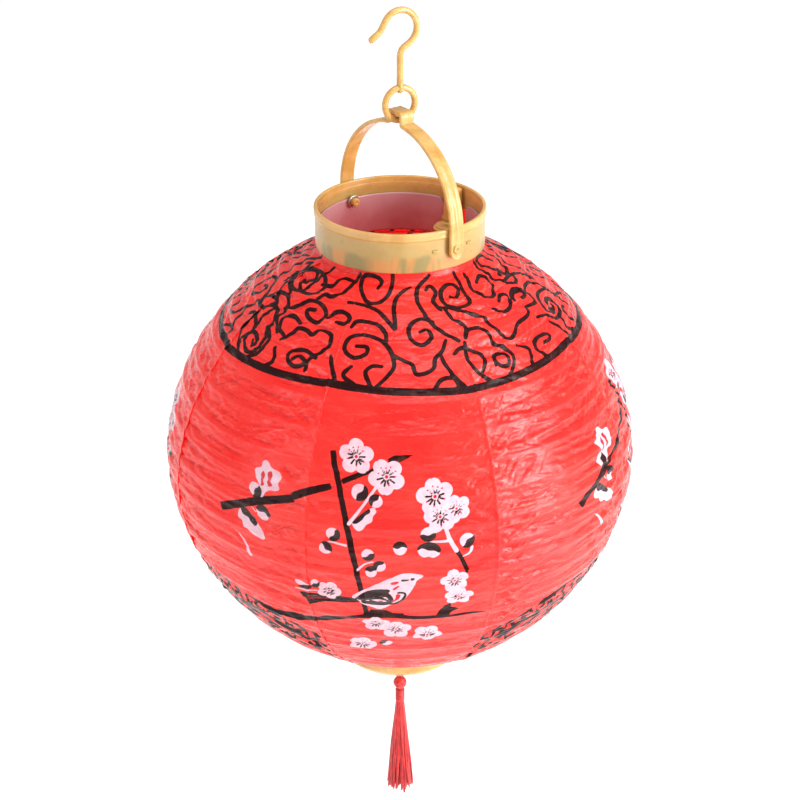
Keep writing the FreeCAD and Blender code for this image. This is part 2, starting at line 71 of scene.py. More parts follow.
RADIUS = 100.0
HALF_HEIGHT = 97.4
ROUNDNESS = 1.877
NECK_RADIUS = 34.0
FOOT_RADIUS = 27.15
RING_BORE = 33.7
RING_OUTER = 34.9
BEAD_OUTER = 35.3
LEG_INSIDE = 35.7
LEG_RISE = 6.7
STRAP_THICK = 1.6
STRAP_WIDE = 6.6
BRIDGE_HALF = 4.35
PEG_RADIUS = 1.8
PEG_REACH = 6.2
ROD_PLACE = 24.0
ROD_RADIUS = 1.6
COLLAR_RADIUS = 6.1
SLOT_HALF = 6.5
CARD_DOWN = 7.2
HOOK_WIRE = 1.3
EYE_MIDDLE = 5.4 + HOOK_WIRE
CAP_RADIUS = 28.4
CAP_WALL = 1.4
# The paper, cards and struts are turned this far from the handle's pegs, which lie along X.
BODY_TURN = 7.3
HOOK_TURN = 80.3
VIEW_TURN = 45.0 + BODY_TURN

TOP_TURN = math.acos((NECK_RADIUS / RADIUS) ** (ROUNDNESS / 2))
LOW_TURN = -math.acos((FOOT_RADIUS / RADIUS) ** (ROUNDNESS / 2))
MIDDLE = PAPER_TOP - HALF_HEIGHT * math.sin(TOP_TURN) ** (2 / ROUNDNESS)


# ------------------------------------------------------------------ mesh tools

def add_mesh(name, points, faces):
    """A mesh object from points in mm."""
    mesh = bpy.data.meshes.new(name)
    mesh.from_pydata([tuple(p) for p in np.asarray(points, float) * MM], [], faces)
    mesh.update()
    piece = bpy.data.objects.new(name, mesh)
    bpy.context.scene.collection.objects.link(piece)
    mesh.shade_smooth()
    return piece


def grid_faces(rows, columns, wrap_rows=False, wrap_columns=False, start=0):
    """Quads of a grid of rows x columns points."""
    i = np.arange(rows if wrap_rows else rows - 1)
    j = np.arange(columns if wrap_columns else columns - 1)
    i, j = np.meshgrid(i, j, indexing="ij")
    down, right = (i + 1) % rows, (j + 1) % columns
    quads = np.stack([i * columns + j, i * columns + right, down * columns + right, down * columns + j], -1)
    return (quads.reshape(-1, 4) + start).tolist()


def shell_faces(rows, columns):
    """Faces of a thin closed shell: an outer grid, an inner grid turned over, and the rim between them."""
    count = rows * columns
    faces = grid_faces(rows, columns)
    faces += [face[::-1] for face in grid_faces(rows, columns, start=count)]
    rim = [k * columns for k in range(rows - 1, 0, -1)]
    rim += list(range(columns - 1)) + [k * columns + columns - 1 for k in range(rows - 1)]
    rim += [(rows - 1) * columns + k for k in range(columns - 1, 0, -1)]
    for k, here in enumerate(rim):
        there = rim[(k + 1) % len(rim)]
        faces.append((there, here, here + count, there + count))
    return faces


def join_parts(parts):
    """Points and faces of several meshes as one."""
    points, faces, start = [], [], 0
    for some, quads in parts:
        points.append(np.asarray(some, float))
        faces += [tuple(k + start for k in face) for face in quads]
        start += len(some)
    return np.concatenate(points), faces


def rounded(corners, steps=5):
    """A closed outline of (x, y, radius) corners with each corner turned into an arc."""
    count = len(corners)
    line = []
    for index, (x, y, radius) in enumerate(corners):
        here = np.array([x, y], float)
        before = np.array(corners[index - 1][:2], float) - here
        after = np.array(corners[(index + 1) % count][:2], float) - here
        if radius <= 0:
            line.append(here)
            continue
        a, b = before / np.linalg.norm(before), after / np.linalg.norm(after)
        angle = math.acos(float(np.clip(a @ b, -1, 1)))
        reach = min(radius / math.tan(angle / 2), 0.49 * np.linalg.norm(before), 0.49 * np.linalg.norm(after))
        size = reach * math.tan(angle / 2)
        middle = here + (a + b) / np.linalg.norm(a + b) * size / math.sin(angle / 2)
        first, last = here + a * reach - middle, here + b * reach - middle
        for k in range(steps + 1):
            way = first * (1 - k / steps) + last * (k / steps)
            line.append(middle + way / np.linalg.norm(way) * size)
    return np.array(line)


def turned_round(points, angle):
    """Points turned about the upright axis, in degrees."""
    c, s = math.cos(math.radians(angle)), math.sin(math.radians(angle))
    return points @ np.array([[c, s, 0], [-s, c, 0], [0, 0, 1]])


def lathe(outline, segments=160, centre=(0.0, 0.0)):
    """A closed outline of (radius, height) turned about a vertical axis."""
    outline = np.asarray(outline, float)
    turn = np.arange(segments) * 2 * math.pi / segments
    points = np.stack([
        outline[None, :, 0] * np.cos(turn)[:, None] + centre[0],
        outline[None, :, 0] * np.sin(turn)[:, None] + centre[1],
        np.repeat(outline[None, :, 1], segments, 0),
    ], -1).reshape(-1, 3)
    return points, grid_faces(segments, len(outline), True, True)


def frames(line, closed=False):
    """Tangents and two cross directions along a line, turning as little as they can."""
    line = np.asarray(line, float)
    if closed:
        ahead = np.roll(line, -1, 0) - np.roll(line, 1, 0)
    else:
        ahead = np.gradient(line, axis=0)
    ahead /= np.linalg.norm(ahead, axis=1)[:, None]
    side = np.cross(ahead[0], [0.3, 0.2, 1.0])
    if np.linalg.norm(side) < 0.3:
        side = np.cross(ahead[0], [1.0, 0.1, 0.0])
    sides = []
    for step in ahead:
        side = side - step * (side @ step)
        side = side / np.linalg.norm(side)
        sides.append(side)
    sides = np.array(sides)
    return ahead, sides, np.cross(ahead, sides)


TUBE_ENDS = ((0.55, 0.86), (0.9, 0.45), (1.0, 0.08))


def tube(line, radius, sides=10, closed=False):
    """A round tube along a line, with rounded ends where it is open."""
    line = np.asarray(line, float)
    radius = np.broadcast_to(np.asarray(radius, float), (len(line),)).copy()
    if not closed:
        for end in (0, -1):
            inner = 1 if end == 0 else -2
            out = line[end] - line[inner]
            out /= np.linalg.norm(out)
            more = np.array([line[end] + out * radius[end] * far for far, _ in TUBE_ENDS])
            thin = np.array([radius[end] * share for _, share in TUBE_ENDS])
            if end == 0:
                line, radius = np.concatenate([more[::-1], line]), np.concatenate([thin[::-1], radius])
            else:
                line, radius = np.concatenate([line, more]), np.concatenate([radius, thin])
    _, across, up = frames(line, closed)
    turn = np.arange(sides) * 2 * math.pi / sides
    points = (line[:, None] + radius[:, None, None] * (
        np.cos(turn)[None, :, None] * across[:, None] + np.sin(turn)[None, :, None] * up[:, None]))
    faces = grid_faces(len(line), sides, closed, True)
    if not closed:
        faces.append(tuple(range(sides))[::-1])
        faces.append(tuple((len(line) - 1) * sides + k for k in range(sides)))
    return points.reshape(-1, 3), faces


def curve_through(points, step):
    """A smooth line through points, with samples about a step apart."""
    points = np.asarray(points, float)
    if len(points) == 2:
        count = max(2, int(np.linalg.norm(points[1] - points[0]) / step) + 1)
        return points[0] + (points[1] - points[0]) * np.linspace(0, 1, count)[:, None]
    padded = np.concatenate([[2 * points[0] - points[1]], points, [2 * points[-1] - points[-2]]])
    line = []
    for index in range(1, len(padded) - 2):
        p0, p1, p2, p3 = padded[index - 1:index + 3]
        count = max(2, int(np.linalg.norm(p2 - p1) / step) + 1)
        t = np.linspace(0, 1, count, endpoint=False)[:, None]
        line.append(0.5 * (2 * p1 + (p2 - p0) * t + (2 * p0 - 5 * p1 + 4 * p2 - p3) * t ** 2
                           + (3 * p1 - p0 - 3 * p2 + p3) * t ** 3))
    return np.concatenate(line + [points[-1:]])


def loop_through(points, step):
    """The same for a closed line."""
    points = np.asarray(points, float)
    around = np.concatenate([points[-2:], points, points[:3]])
    line = curve_through(around, step)
    first = int(np.argmin(np.linalg.norm(line[:len(line) // 2] - points[0], axis=1)))
    rest = line[first + 3:]
    last = first + 3 + int(np.argmin(np.linalg.norm(rest - points[0], axis=1)))
    return line[first:last]


# ------------------------------------------------------------------ smooth random fields

LATTICE = RNG.permutation(256)
SLOPES = RNG.uniform(0, 2 * math.pi, 256)


def noise(x, y, seed=0):
    """Gradient noise of about -0.7 to 0.7 on a unit lattice."""
    xi, yi = np.floor(x).astype(int), np.floor(y).astype(int)
    fx, fy = x - xi, y - yi
    sx, sy = fx * fx * fx * (fx * (fx * 6 - 15) + 10), fy * fy * fy * (fy * (fy * 6 - 15) + 10)

    def corner(dx, dy):
        angle = SLOPES[LATTICE[(LATTICE[(xi + dx + 37 * seed) % 256] + yi + dy) % 256]]
        return np.cos(angle) * (fx - dx) + np.sin(angle) * (fy - dy)

    low = corner(0, 0) * (1 - sx) + corner(1, 0) * sx
    high = corner(0, 1) * (1 - sx) + corner(1, 1) * sx
    return low * (1 - sy) + high * sy


def pleat(x):
    """A triangle wave from -0.5 to 0.5: flat facets that meet in sharp creases."""
    return np.abs(x - np.floor(x) - 0.5) * 2 - 0.5


# ------------------------------------------------------------------ the shape of the paper

def body_at(turn):
    """Radius and height (from the middle) of the paper body at a latitude angle."""
    radius = RADIUS * np.cos(turn) ** (2 / ROUNDNESS)
    rise = HALF_HEIGHT * np.abs(np.sin(turn)) ** (2 / ROUNDNESS) * np.sign(turn)
    return radius, rise


TURNS = np.linspace(LOW_TURN, TOP_TURN, 4001)
PROFILE_RADII, PROFILE_RISES = body_at(TURNS)
ARCS = np.concatenate([[0], np.cumsum(np.hypot(np.diff(PROFILE_RADII), np.diff(PROFILE_RISES)))])
ARCS -= np.interp(0, TURNS, ARCS)
ARC_LOW, ARC_TOP = ARCS[0], ARCS[-1]
RIBS = 20
RIB_MARGIN = math.radians(3)
RIB_ARCS = np.interp(np.linspace(LOW_TURN + RIB_MARGIN, TOP_TURN - RIB_MARGIN, RIBS), TURNS, ARCS)
GORE_HALF = 22.5
NECK_RISE = 7.0


def radius_at(arc):
    """Radius of the paper at a distance up its surface from the middle, in mm."""
    return np.interp(arc, ARCS, PROFILE_RADII)


# Each family of creases: spacing across it (mm), length along it, lean, depth (mm), and how far from
# a seam it reaches.
CREASES = [
    (6.4, 46, 0.04, 0.95, 90), (3.9, 34, -0.10, 0.60, 90), (2.6, 26, 0.15, 0.34, 90),
    (8.2, 20, 0.52, 0.80, 30), (7.1, 16, -0.62, 0.74, 26), (4.3, 12, -0.30, 0.44, 40),
    (3.6, 11, 0.95, 0.30, 30),
]


# How strongly each panel is creased; the first is the one that faces the camera.
PANEL_CREASED = (0.5, 1.25, 1.0, 0.8, 1.0, 0.9, 1.0, 0.95)


def relief(across, arc, gore, seam):
    """How far the paper stands out, in mm, and where its creases rise (up to 1) and fall (down to -1)."""
    edges = np.concatenate([[ARC_LOW - 6], RIB_ARCS, [ARC_TOP + 6]])
    band = np.clip(np.searchsorted(edges, arc) - 1, 0, len(edges) - 2)
    share = (arc - edges[band]) / (edges[band + 1] - edges[band])
    free = 4 * share * (1 - share)
    slack = 0.9 + 0.6 * noise(across / 26 + 9 * gore, band * 3.7 + gore, 1)
    sag = -slack * free ** 0.8
    # The creases fade at each rib, so that the paper never dips below the wire.
    held = np.clip(free * 2.0 - 0.35, 0.04, 1) * (0.5 + 0.5 * np.clip(seam / 3, 0, 1))
    held = held * PANEL_CREASED[gore % 8]
    crumple, line = 0.0, 0.0
    for kind, (gap, long, lean, deep, reach) in enumerate(CREASES):
        tilt = lean + 0.12 * noise(across / 50 + 3 * gore, arc / 50 + kind, 20 + kind)
        over = arc - tilt * across + 3.2 * noise(across / long + 5 * gore, arc / 16, 30 + kind)
        patches = noise(across / long + 7 * gore, over / (1.9 * gap) + 3 * kind, 40 + kind)
        here = np.clip(0.42 + 1.9 * patches, 0, 1)
        here = here * np.clip((reach - seam) / 12, 0, 1)
        wave = pleat(over / gap + gore * 0.37)
        crumple = crumple + deep * here * wave
        line = line + here * deep * (np.clip(wave - 0.36, 0, 1) - np.clip(-0.36 - wave, 0, 1)) * 11
    return sag * (0.6 + 0.4 * np.clip(seam / 6, 0, 1)) + crumple * held, np.clip(line * held, -1, 1)


# ------------------------------------------------------------------ the print on the paper

# Distances from a motif stop counting beyond this many mm.
FAR = 6.0
LAYERS = ("ink", "bloom", "mark", "dab")
# How far round a motif the grid is worked out, in mm up and across.
NEAR_ROWS = 2.5
NEAR_COLUMNS = 4.2


class Sheet:
    """One gore's points and how far each lies from each layer of print (mm, negative inside)."""

    def __init__(self, centre, angles, arcs):
        self.angles = angles + centre
        self.arcs = arcs
        self.radii = radius_at(arcs)
        self.far = {name: np.full((len(arcs), len(angles)), FAR) for name in LAYERS}

    def window(self, middle, low, high, left, right):
        """The part of the grid near a motif, as slices and local coordinates in mm."""
        off = (self.angles - middle + 180) % 360 - 180
        rows = np.flatnonzero((self.arcs > low - NEAR_ROWS) & (self.arcs < high + NEAR_ROWS))
        if not len(rows):
            return None
        narrow = max(20.0, float(self.radii[rows].min()))
        place = np.radians(off) * narrow
        columns = np.flatnonzero((place > left - NEAR_COLUMNS) & (place < right + NEAR_COLUMNS)
                                 | (np.abs(np.radians(off)) < 0.02))
        columns = columns[np.abs(off[columns]) < 100]
        if not len(columns):
            return None
        rows, columns = slice(rows[0], rows[-1] + 1), slice(columns[0], columns[-1] + 1)
        x = np.radians(off[columns])[None, :] * self.radii[rows][:, None]
        y = np.repeat(self.arcs[rows][:, None], x.shape[1], 1)
        return rows, columns, x, y

    def put(self, layer, rows, columns, far):
        field = self.far[layer][rows, columns]
        np.minimum(field, far, out=field)


def to_line(line, x, y, wide, square=False):
    """Distance from a line whose half width runs evenly between the values given."""
    wide = np.interp(np.linspace(0, 1, len(line)), np.linspace(0, 1, len(wide)), wide)
    best = np.full(x.shape, FAR)
    for k in range(len(line) - 1):
        a, b = line[k], line[k + 1]
        run = b - a
        t = np.clip(((x - a[0]) * run[0] + (y - a[1]) * run[1]) / max(run @ run, 1e-9), 0, 1)
        gap = np.hypot(x - a[0] - t * run[0], y - a[1] - t * run[1])
        np.minimum(best, gap - wide[k] * (1 - t) - wide[k + 1] * t, out=best)
    if square:
        for end, near in ((line[0], line[1]), (line[-1], line[-2])):
            out = (end - near) / np.linalg.norm(end - near)
            best = np.maximum(best, (x - end[0]) * out[0] + (y - end[1]) * out[1])
    return best


def to_shape(outline, x, y):
    """Distance from a closed outline, negative inside."""
    best = np.full(x.shape, FAR ** 2)
    inside = np.zeros(x.shape, bool)
    for a, b in zip(outline, np.roll(outline, -1, 0)):
        run = b - a
        t = np.clip(((x - a[0]) * run[0] + (y - a[1]) * run[1]) / max(run @ run, 1e-9), 0, 1)
        np.minimum(best, (x - a[0] - t * run[0]) ** 2 + (y - a[1] - t * run[1]) ** 2, out=best)
        crosses = (a[1] > y) != (b[1] > y)
        if a[1] != b[1]:
            inside ^= crosses & (x < (b[0] - a[0]) * (y - a[1]) / (b[1] - a[1]) + a[0])
    return np.where(inside, -np.sqrt(best), np.sqrt(best))


def span(line):
    """The lowest, highest, leftmost and rightmost places of a line."""
    return line[:, 1].min(), line[:, 1].max(), line[:, 0].min(), line[:, 0].max()


def stroke(sheet, middle, layer, points, wide, square=False):
    """A brush line through points (mm across and up from the middle)."""
    wide = np.atleast_1d(np.asarray(wide, float)) / 2
    line = curve_through(points, 1.2)
    spot = sheet.window(middle, *span(line))
    if spot:
        rows, columns, x, y = spot
        sheet.put(layer, rows, columns, to_line(line, x, y, wide, square))


def shape(sheet, middle, layer, points, smooth=True):
    """A filled outline, rounded through its points unless smooth is off."""
    outline = loop_through(points, 1.0) if smooth else np.asarray(points, float)
    spot = sheet.window(middle, *span(outline))
    if spot:
        rows, columns, x, y = spot
        sheet.put(layer, rows, columns, to_shape(outline, x, y))


STAMENS = 11


def blossom(sheet, middle, across, up, size, turn, flat=1.0):
    """A five-petalled blossom with a red eye, dark stamens and red tips."""
    spot = sheet.window(middle, up - size, up + size, across - size, across + size)
    if not spot:
        return
    rows, columns, x, y = spot
    x, y = x - across, (y - up) / flat
    far = np.hypot(x, y) - 0.5 * size
    for k in range(5):
        angle = math.radians(turn + 72 * k)
        way = np.array([math.cos(angle), math.sin(angle)]) * 0.57 * size
        petal = np.hypot(x - way[0], y - way[1]) - 0.42 * size
        notch = 0.12 * size - np.hypot(x - way[0] * 1.86, y - way[1] * 1.86)
        far = np.minimum(far, np.maximum(petal, notch) if k % 2 else petal)
    sheet.put("bloom", rows, columns, far * min(flat, 1))
    for k in range(STAMENS):
        angle = math.radians(turn + 14 + 360 / STAMENS * k + 6 * math.sin(5.0 * k + across))
        long = size * (0.46 + 0.05 * math.sin(3.1 * k + up))
        tip = np.array([math.cos(angle), math.sin(angle)])
        upper = math.sin(angle) > 0.3
        line = np.array([tip * 0.19 * size, tip * long * (0.84 if upper else 1)])
        ends = (0.042, 0.034) if upper else (0.046, 0.060)
        sheet.put("mark", rows, columns, to_line(line, x, y, np.array(ends) * size))
        if upper or k % 2:
            end = tip * (long + 0.05 * size)
            sheet.put("dab", rows, columns, np.hypot(x - end[0], y - end[1]) - 0.06 * size)
    sheet.put("dab", rows, columns, np.hypot(x, y) - 0.10 * size)


def bud(sheet, middle, across, up, size, cap, flat=1.0):
    """A round bud with a dark wavy cap on the side that cap points to, in degrees."""
    spot = sheet.window(middle, up - size, up + size, across - size, across + size)
    if not spot:
        return
    rows, columns, x, y = spot
    x, y = x - across, (y - up) / flat
    ball = np.hypot(x, y) - size
    angle = math.radians(cap)
    out = x * math.cos(angle) + y * math.sin(angle)
    side = y * math.cos(angle) - x * math.sin(angle)
    wave = 0.14 * size * np.sin(side / size * 4.2 + across)
    sheet.put("bloom", rows, columns, ball)
    sheet.put("mark", rows, columns, np.maximum(ball - 0.12 * size, 0.06 * size - out - wave))


# The plum branch scene, in mm across and up from its middle. The places in these tables and in SCROLLS
# were picked by eye on the photo, turned into mm and degrees on the paper by a separate script, rounded,
# and partly moved by hand afterwards.

# Branches: points, and the widths along them.
BRANCHES = [
    ([(-26.6, 42.2), (-25.4, 35.5), (-23.6, 27), (-22, 19), (-20.5, 11), (-19, 3), (-17.2, -6.5),
      (-15.6, -16), (-14, -26.5), (-13.4, -31)], (2.5, 2.4, 2.6, 2.3, 2.0)),
    ([(-81, 6.5), (-70, 11.4), (-60, 15.6), (-51, 18.3), (-43.2, 20.6)], (3.6, 3.3, 3.3, 3.2)),
    ([(-43.6, 21.4), (-38, 24.2), (-32, 26.6), (-27.2, 28.2)], (3.2, 3.0, 2.5)),
    ([(22, 3.2), (24.4, -1.2), (26.8, -7)], (2, 1.8, 1.9)),
    ([(-59.6, -40.4), (-55, -42.4), (-49.5, -40.6)], (2.2, 3.0, 2.4)),
    ([(-50, -40.6), (-42, -40), (-36, -38), (-29, -35.6), (-22, -33.4)], (3.4, 4.0, 3.2, 4.0, 2.6)),
    ([(-22.4, -33.4), (-14, -31), (-3.5, -30.2), (6.5, -31), (14.5, -31.2), (22.5, -31.3), (29, -31.2),
      (35.6, -32.6)], (2.6, 2.0, 1.9, 1.9, 1.9, 1.6, 1.3, 1.2)),
]

# Straight-sided dark shapes: leaves, knots on the branches, and the bird's tail.
LEAVES = [
    [(-23, 31.6), (-22.6, 29.4), (-15.2, 33), (-10, 35.3), (-10, 37.3), (-11.5, 36.2), (-15.6, 35.2)],
    [(-4.8, 40.6), (-2.2, 42), (5.6, 42.3), (1.8, 40.1), (-1.4, 38.6), (-4.2, 38.6)],
    [(26.2, -6.4), (27.9, -6), (26.6, -9), (25.6, -8)],
    [(-41.6, -21.6), (-33, -20.3), (-24.5, -19.8), (-16.5, -20), (-16, -23.2), (-24.5, -24.2),
      (-30.5, -24.8), (-37.2, -28.2), (-38.8, -25.4)],
    [(13.6, -31.6), (17.6, -24.8), (20.6, -23.4), (20.4, -26), (24, -27.4), (20.4, -29.4), (18.8, -31.8)],
    [(-12.5, -30.2), (-12, -27.2), (-5.5, -27), (-3, -28.6), (1.8, -28.8), (0.6, -30), (-6.5, -30)],
]

# Pale twigs and the fallen petal: points, and the widths along them.
TWIGS = [
    ([(-62.8, 12.6), (-61.4, 10.6)], (0.5, 0.7)),
    ([(-72.6, -0.6), (-69.6, -2.6), (-66.8, -5), (-64.2, -9.6)], (0.3, 0.7, 1.1, 1.9)),
    ([(-9.4, 29.2), (-14.6, 21.6), (-20, 14.2)], (1.2, 1.0, 1.5)),
    ([(-28.4, 5.6), (-25, 5.4), (-21.2, 4.8)], (0.5, 0.8, 1.0)),
    ([(-16.8, -6), (-14, -3), (-10.6, -1.6)], (1.0, 0.8, 0.7)),
    ([(17.4, 14), (19.6, 7.6), (22.2, 2.8)], (1.4, 1.7, 1.9)),
    ([(10, 7.5), (14, 7.2), (20, 6.9)], (0.4, 0.9, 1.2)),
    ([(25, -0.4), (27.4, 0.8), (28.6, 3.4)], (0.6, 1.0, 1.2)),
    ([(-43, -19.8), (-38, -19.6), (-33.6, -19)], (0.6, 0.8, 0.5)),
]

# Buds: across, up, radius, the way that the dark cap points, and how flat.
BUDS = [
    (-61.4, 19.8, 3.0, -35), (-57.4, 11.2, 3.2, 75), (-15.8, 27.1, 3.2, -35), (-9.3, 23.9, 2.6, 140),
    (-26.6, 9, 2.8, -35), (-29.6, 2.6, 2.6, 50), (-12.6, 1.6, 2.5, -60), (-8, -3.6, 2.4, 130),
    (-11.4, -6.2, 2.3, 95), (0, 4.8, 2.7, 95), (11, 10.6, 3.0, -85), (26.6, 6.5, 3.0, -45),
    (-34.6, -15.8, 1.9, -60), (-5.7, -51.7, 2.7, 150, 0.8),
]

# Blossoms: across, up, radius, how far turned, and how flat.
BLOSSOMS = [
    (-17.1, 40.8, 7.2, 90), (-5.2, 33.6, 7.4, 48), (22.2, 20.0, 5.9, 40), (13.6, 25.6, 7.6, 28),
    (15.7, 17.3, 6.6, 30), (23.6, -20.2, 6.2, 12, 0.72), (21.8, -11.8, 6.0, 30),
    (-28.6, -18.2, 5.2, 70, 0.9), (-9.6, -35.9, 6.0, 20, 0.85), (-1.6, -39.6, 6.4, 15, 0.9),
    (11.0, -43.7, 6.3, 60, 0.95), (-15.4, -53.8, 6.0, 75, 1.0),
]

# Half-open flowers: the white, the dark calyx and the red of the paper.
PETALS = [
    ("bloom", [(-55.4, 32.6), (-53, 30.2), (-49.4, 29.6), (-48.6, 27.4), (-49.8, 25.2), (-49.4, 22.8),
      (-51.2, 21.8), (-53.6, 21.6), (-56.2, 20), (-58, 17.4), (-59, 17.8), (-58, 20.4), (-59.2, 22.6),
      (-61, 26), (-61, 28.4), (-58.2, 29.6), (-57.4, 32)]),
    ("dab", [(-58.2, 26.8), (-56.8, 28.4), (-56.2, 26.2), (-57, 24.6), (-56.8, 22.6), (-58.6, 22.2),
      (-58, 24.4)]),
    ("dab", [(-55.2, 28), (-53.2, 29), (-52.8, 26.8), (-53.4, 25.2), (-52.6, 23.6), (-54.6, 22.6),
      (-55.2, 24), (-54.6, 26)]),
    ("bloom", [(-70.4, 8.6), (-68, 10.2), (-64.6, 9.4), (-61.8, 6.8), (-58.6, 4.6), (-56.4, 1.6),
      (-57.4, -0.4), (-60.4, 0), (-63, 1), (-65, 2.4), (-67.4, 2.6), (-68.6, 4.8), (-71, 5.6)]),
    ("mark", [(-69.4, 10.4), (-66.6, 11), (-63.6, 8.8), (-60.6, 6.2), (-61.4, 4.4), (-64, 5.6),
      (-65.6, 7), (-68, 7.4)]),
    ("bloom", [(-12.2, 20.4), (-10.2, 21.2), (-9.2, 19.6), (-10.6, 17.6), (-11, 15.4), (-13, 14.4),
      (-14.6, 12.2), (-16.4, 11.4), (-18, 13), (-18.6, 14.6), (-15.4, 17)]),
    ("mark", [(-12, 20.8), (-11.6, 19.2), (-13.6, 17.8), (-14.8, 16), (-17, 14.4), (-18.8, 14.6),
      (-17.6, 16.2), (-15, 18.6)]),
    ("bloom", [(6.8, 4), (9, 5.6), (13, 5.8), (15.6, 3.4), (15, 1.2), (12.8, 0.2), (11.2, 1), (9.6, 0.6),
      (8, 1.6)]),
    ("mark", [(6.6, 3.6), (7.4, 6), (10.2, 7.2), (13.4, 6.8), (16, 4.4), (15.6, 2.4), (13.4, 3.4),
      (11, 3.6), (8.6, 4.6)]),
    ("bloom", [(-43.4, -16), (-41, -15.6), (-36.6, -17.2), (-38, -18), (-41.6, -17.8)]),
    ("mark", [(-42, -18.4), (-36.8, -17), (-36, -18.6), (-39.4, -19.2)]),
]

# The bird: its white body, eye and red patches.
BIRD = [
    ("bloom", [(9.2, -7.8), (6.6, -7), (3.4, -6.6), (0, -7), (-4.4, -9.2), (-9, -12.4), (-14, -15.6),
      (-19.2, -19.4), (-17, -21.2), (-15.4, -23.8), (-12, -25.2), (-8, -26.6), (-4, -24), (0.5, -20.8),
      (3.6, -17.2), (5.6, -13.6), (6.6, -10.4)]),
    ("mark", [(5.9, -9.3), (5.5, -8.6), (4.6, -8.5), (4.0, -9.2), (4.3, -10.2), (5.3, -10.3)]),
    ("dab", [(-3.8, -11.6), (-1.8, -10.8), (-0.2, -10.8), (-1.6, -12.4), (-3.4, -12.6)]),
    ("dab", [(-3, -14.9), (-0.6, -12.9), (-0.2, -13.6), (-2.2, -15.6)]),
    ("dab", [(-1.6, -17.4), (0.2, -17.6), (0, -18.8), (-1.6, -20.8), (-3.6, -22.2), (-3, -20.8),
      (-1.8, -19.2)]),
    ("dab", [(-8.8, -21), (-7, -20.8), (-6.4, -21.4), (-8.2, -22)]),
]

# Feather lines of the wing and head: points, and the widths along them.
BIRD_LINES = [
    ([(3.1, -9.9), (1.0, -10.1)], (1.0, 1.4)),
    ([(-17.6, -20.6), (-14, -18), (-9, -16.4), (-4.8, -16)], (1.0, 2.0, 2.6, 1.8)),
    ([(-16.4, -21), (-12, -18.6), (-7.4, -17.6), (-4.4, -18.4), (-3.4, -20)], (0.8, 1.7, 1.7, 1.9, 1.9)),
    ([(-15.4, -21.6), (-11, -19.8), (-7.6, -19.4), (-5, -20.6)], (0.8, 1.1, 1.2, 1.2)),
    ([(-14.6, -22.6), (-9.8, -23), (-5.8, -22.8), (-3.6, -21.4)], (2.0, 2.4, 2.4, 2.0)),
    ([(-12.6, -20.6), (-10, -21.8), (-7.4, -22.6)], (0.8, 1.0, 1.0)),
    ([(-0.8, -16.8), (1.2, -16.7), (2.2, -17.7), (0.6, -20.3), (-2.2, -22.8), (-4.8, -23.2)],
      (0.9, 0.9, 1.1, 1.1, 1.2, 0.6)),
]

# Slits in the tail, where the paper shows again.
SLITS = [
    [(-38.2, -23.2), (-34, -22.3), (-31, -22)],
    [(-37, -24.2), (-32, -23.4), (-27.6, -22.6)],
]


def scene_print(sheet, middle):
    """One plum branch with its blossoms and bird, centred on an angle."""
    for points, wide in BRANCHES:
        stroke(sheet, middle, "ink", points, wide, True)
    for points in LEAVES:
        shape(sheet, middle, "ink", points, False)
    for points, wide in TWIGS:
        stroke(sheet, middle, "bloom", points, wide)
    for values in BUDS:
        bud(sheet, middle, *values)
    for values in BLOSSOMS:
        blossom(sheet, middle, *values)
    for layer, points in PETALS + BIRD:
        shape(sheet, middle, layer, points)
    for points, wide in BIRD_LINES:
        stroke(sheet, middle, "mark", points, wide)
    for points in SLITS:
        stroke(sheet, middle, "dab", points, (0.5, 0.6, 0.3))


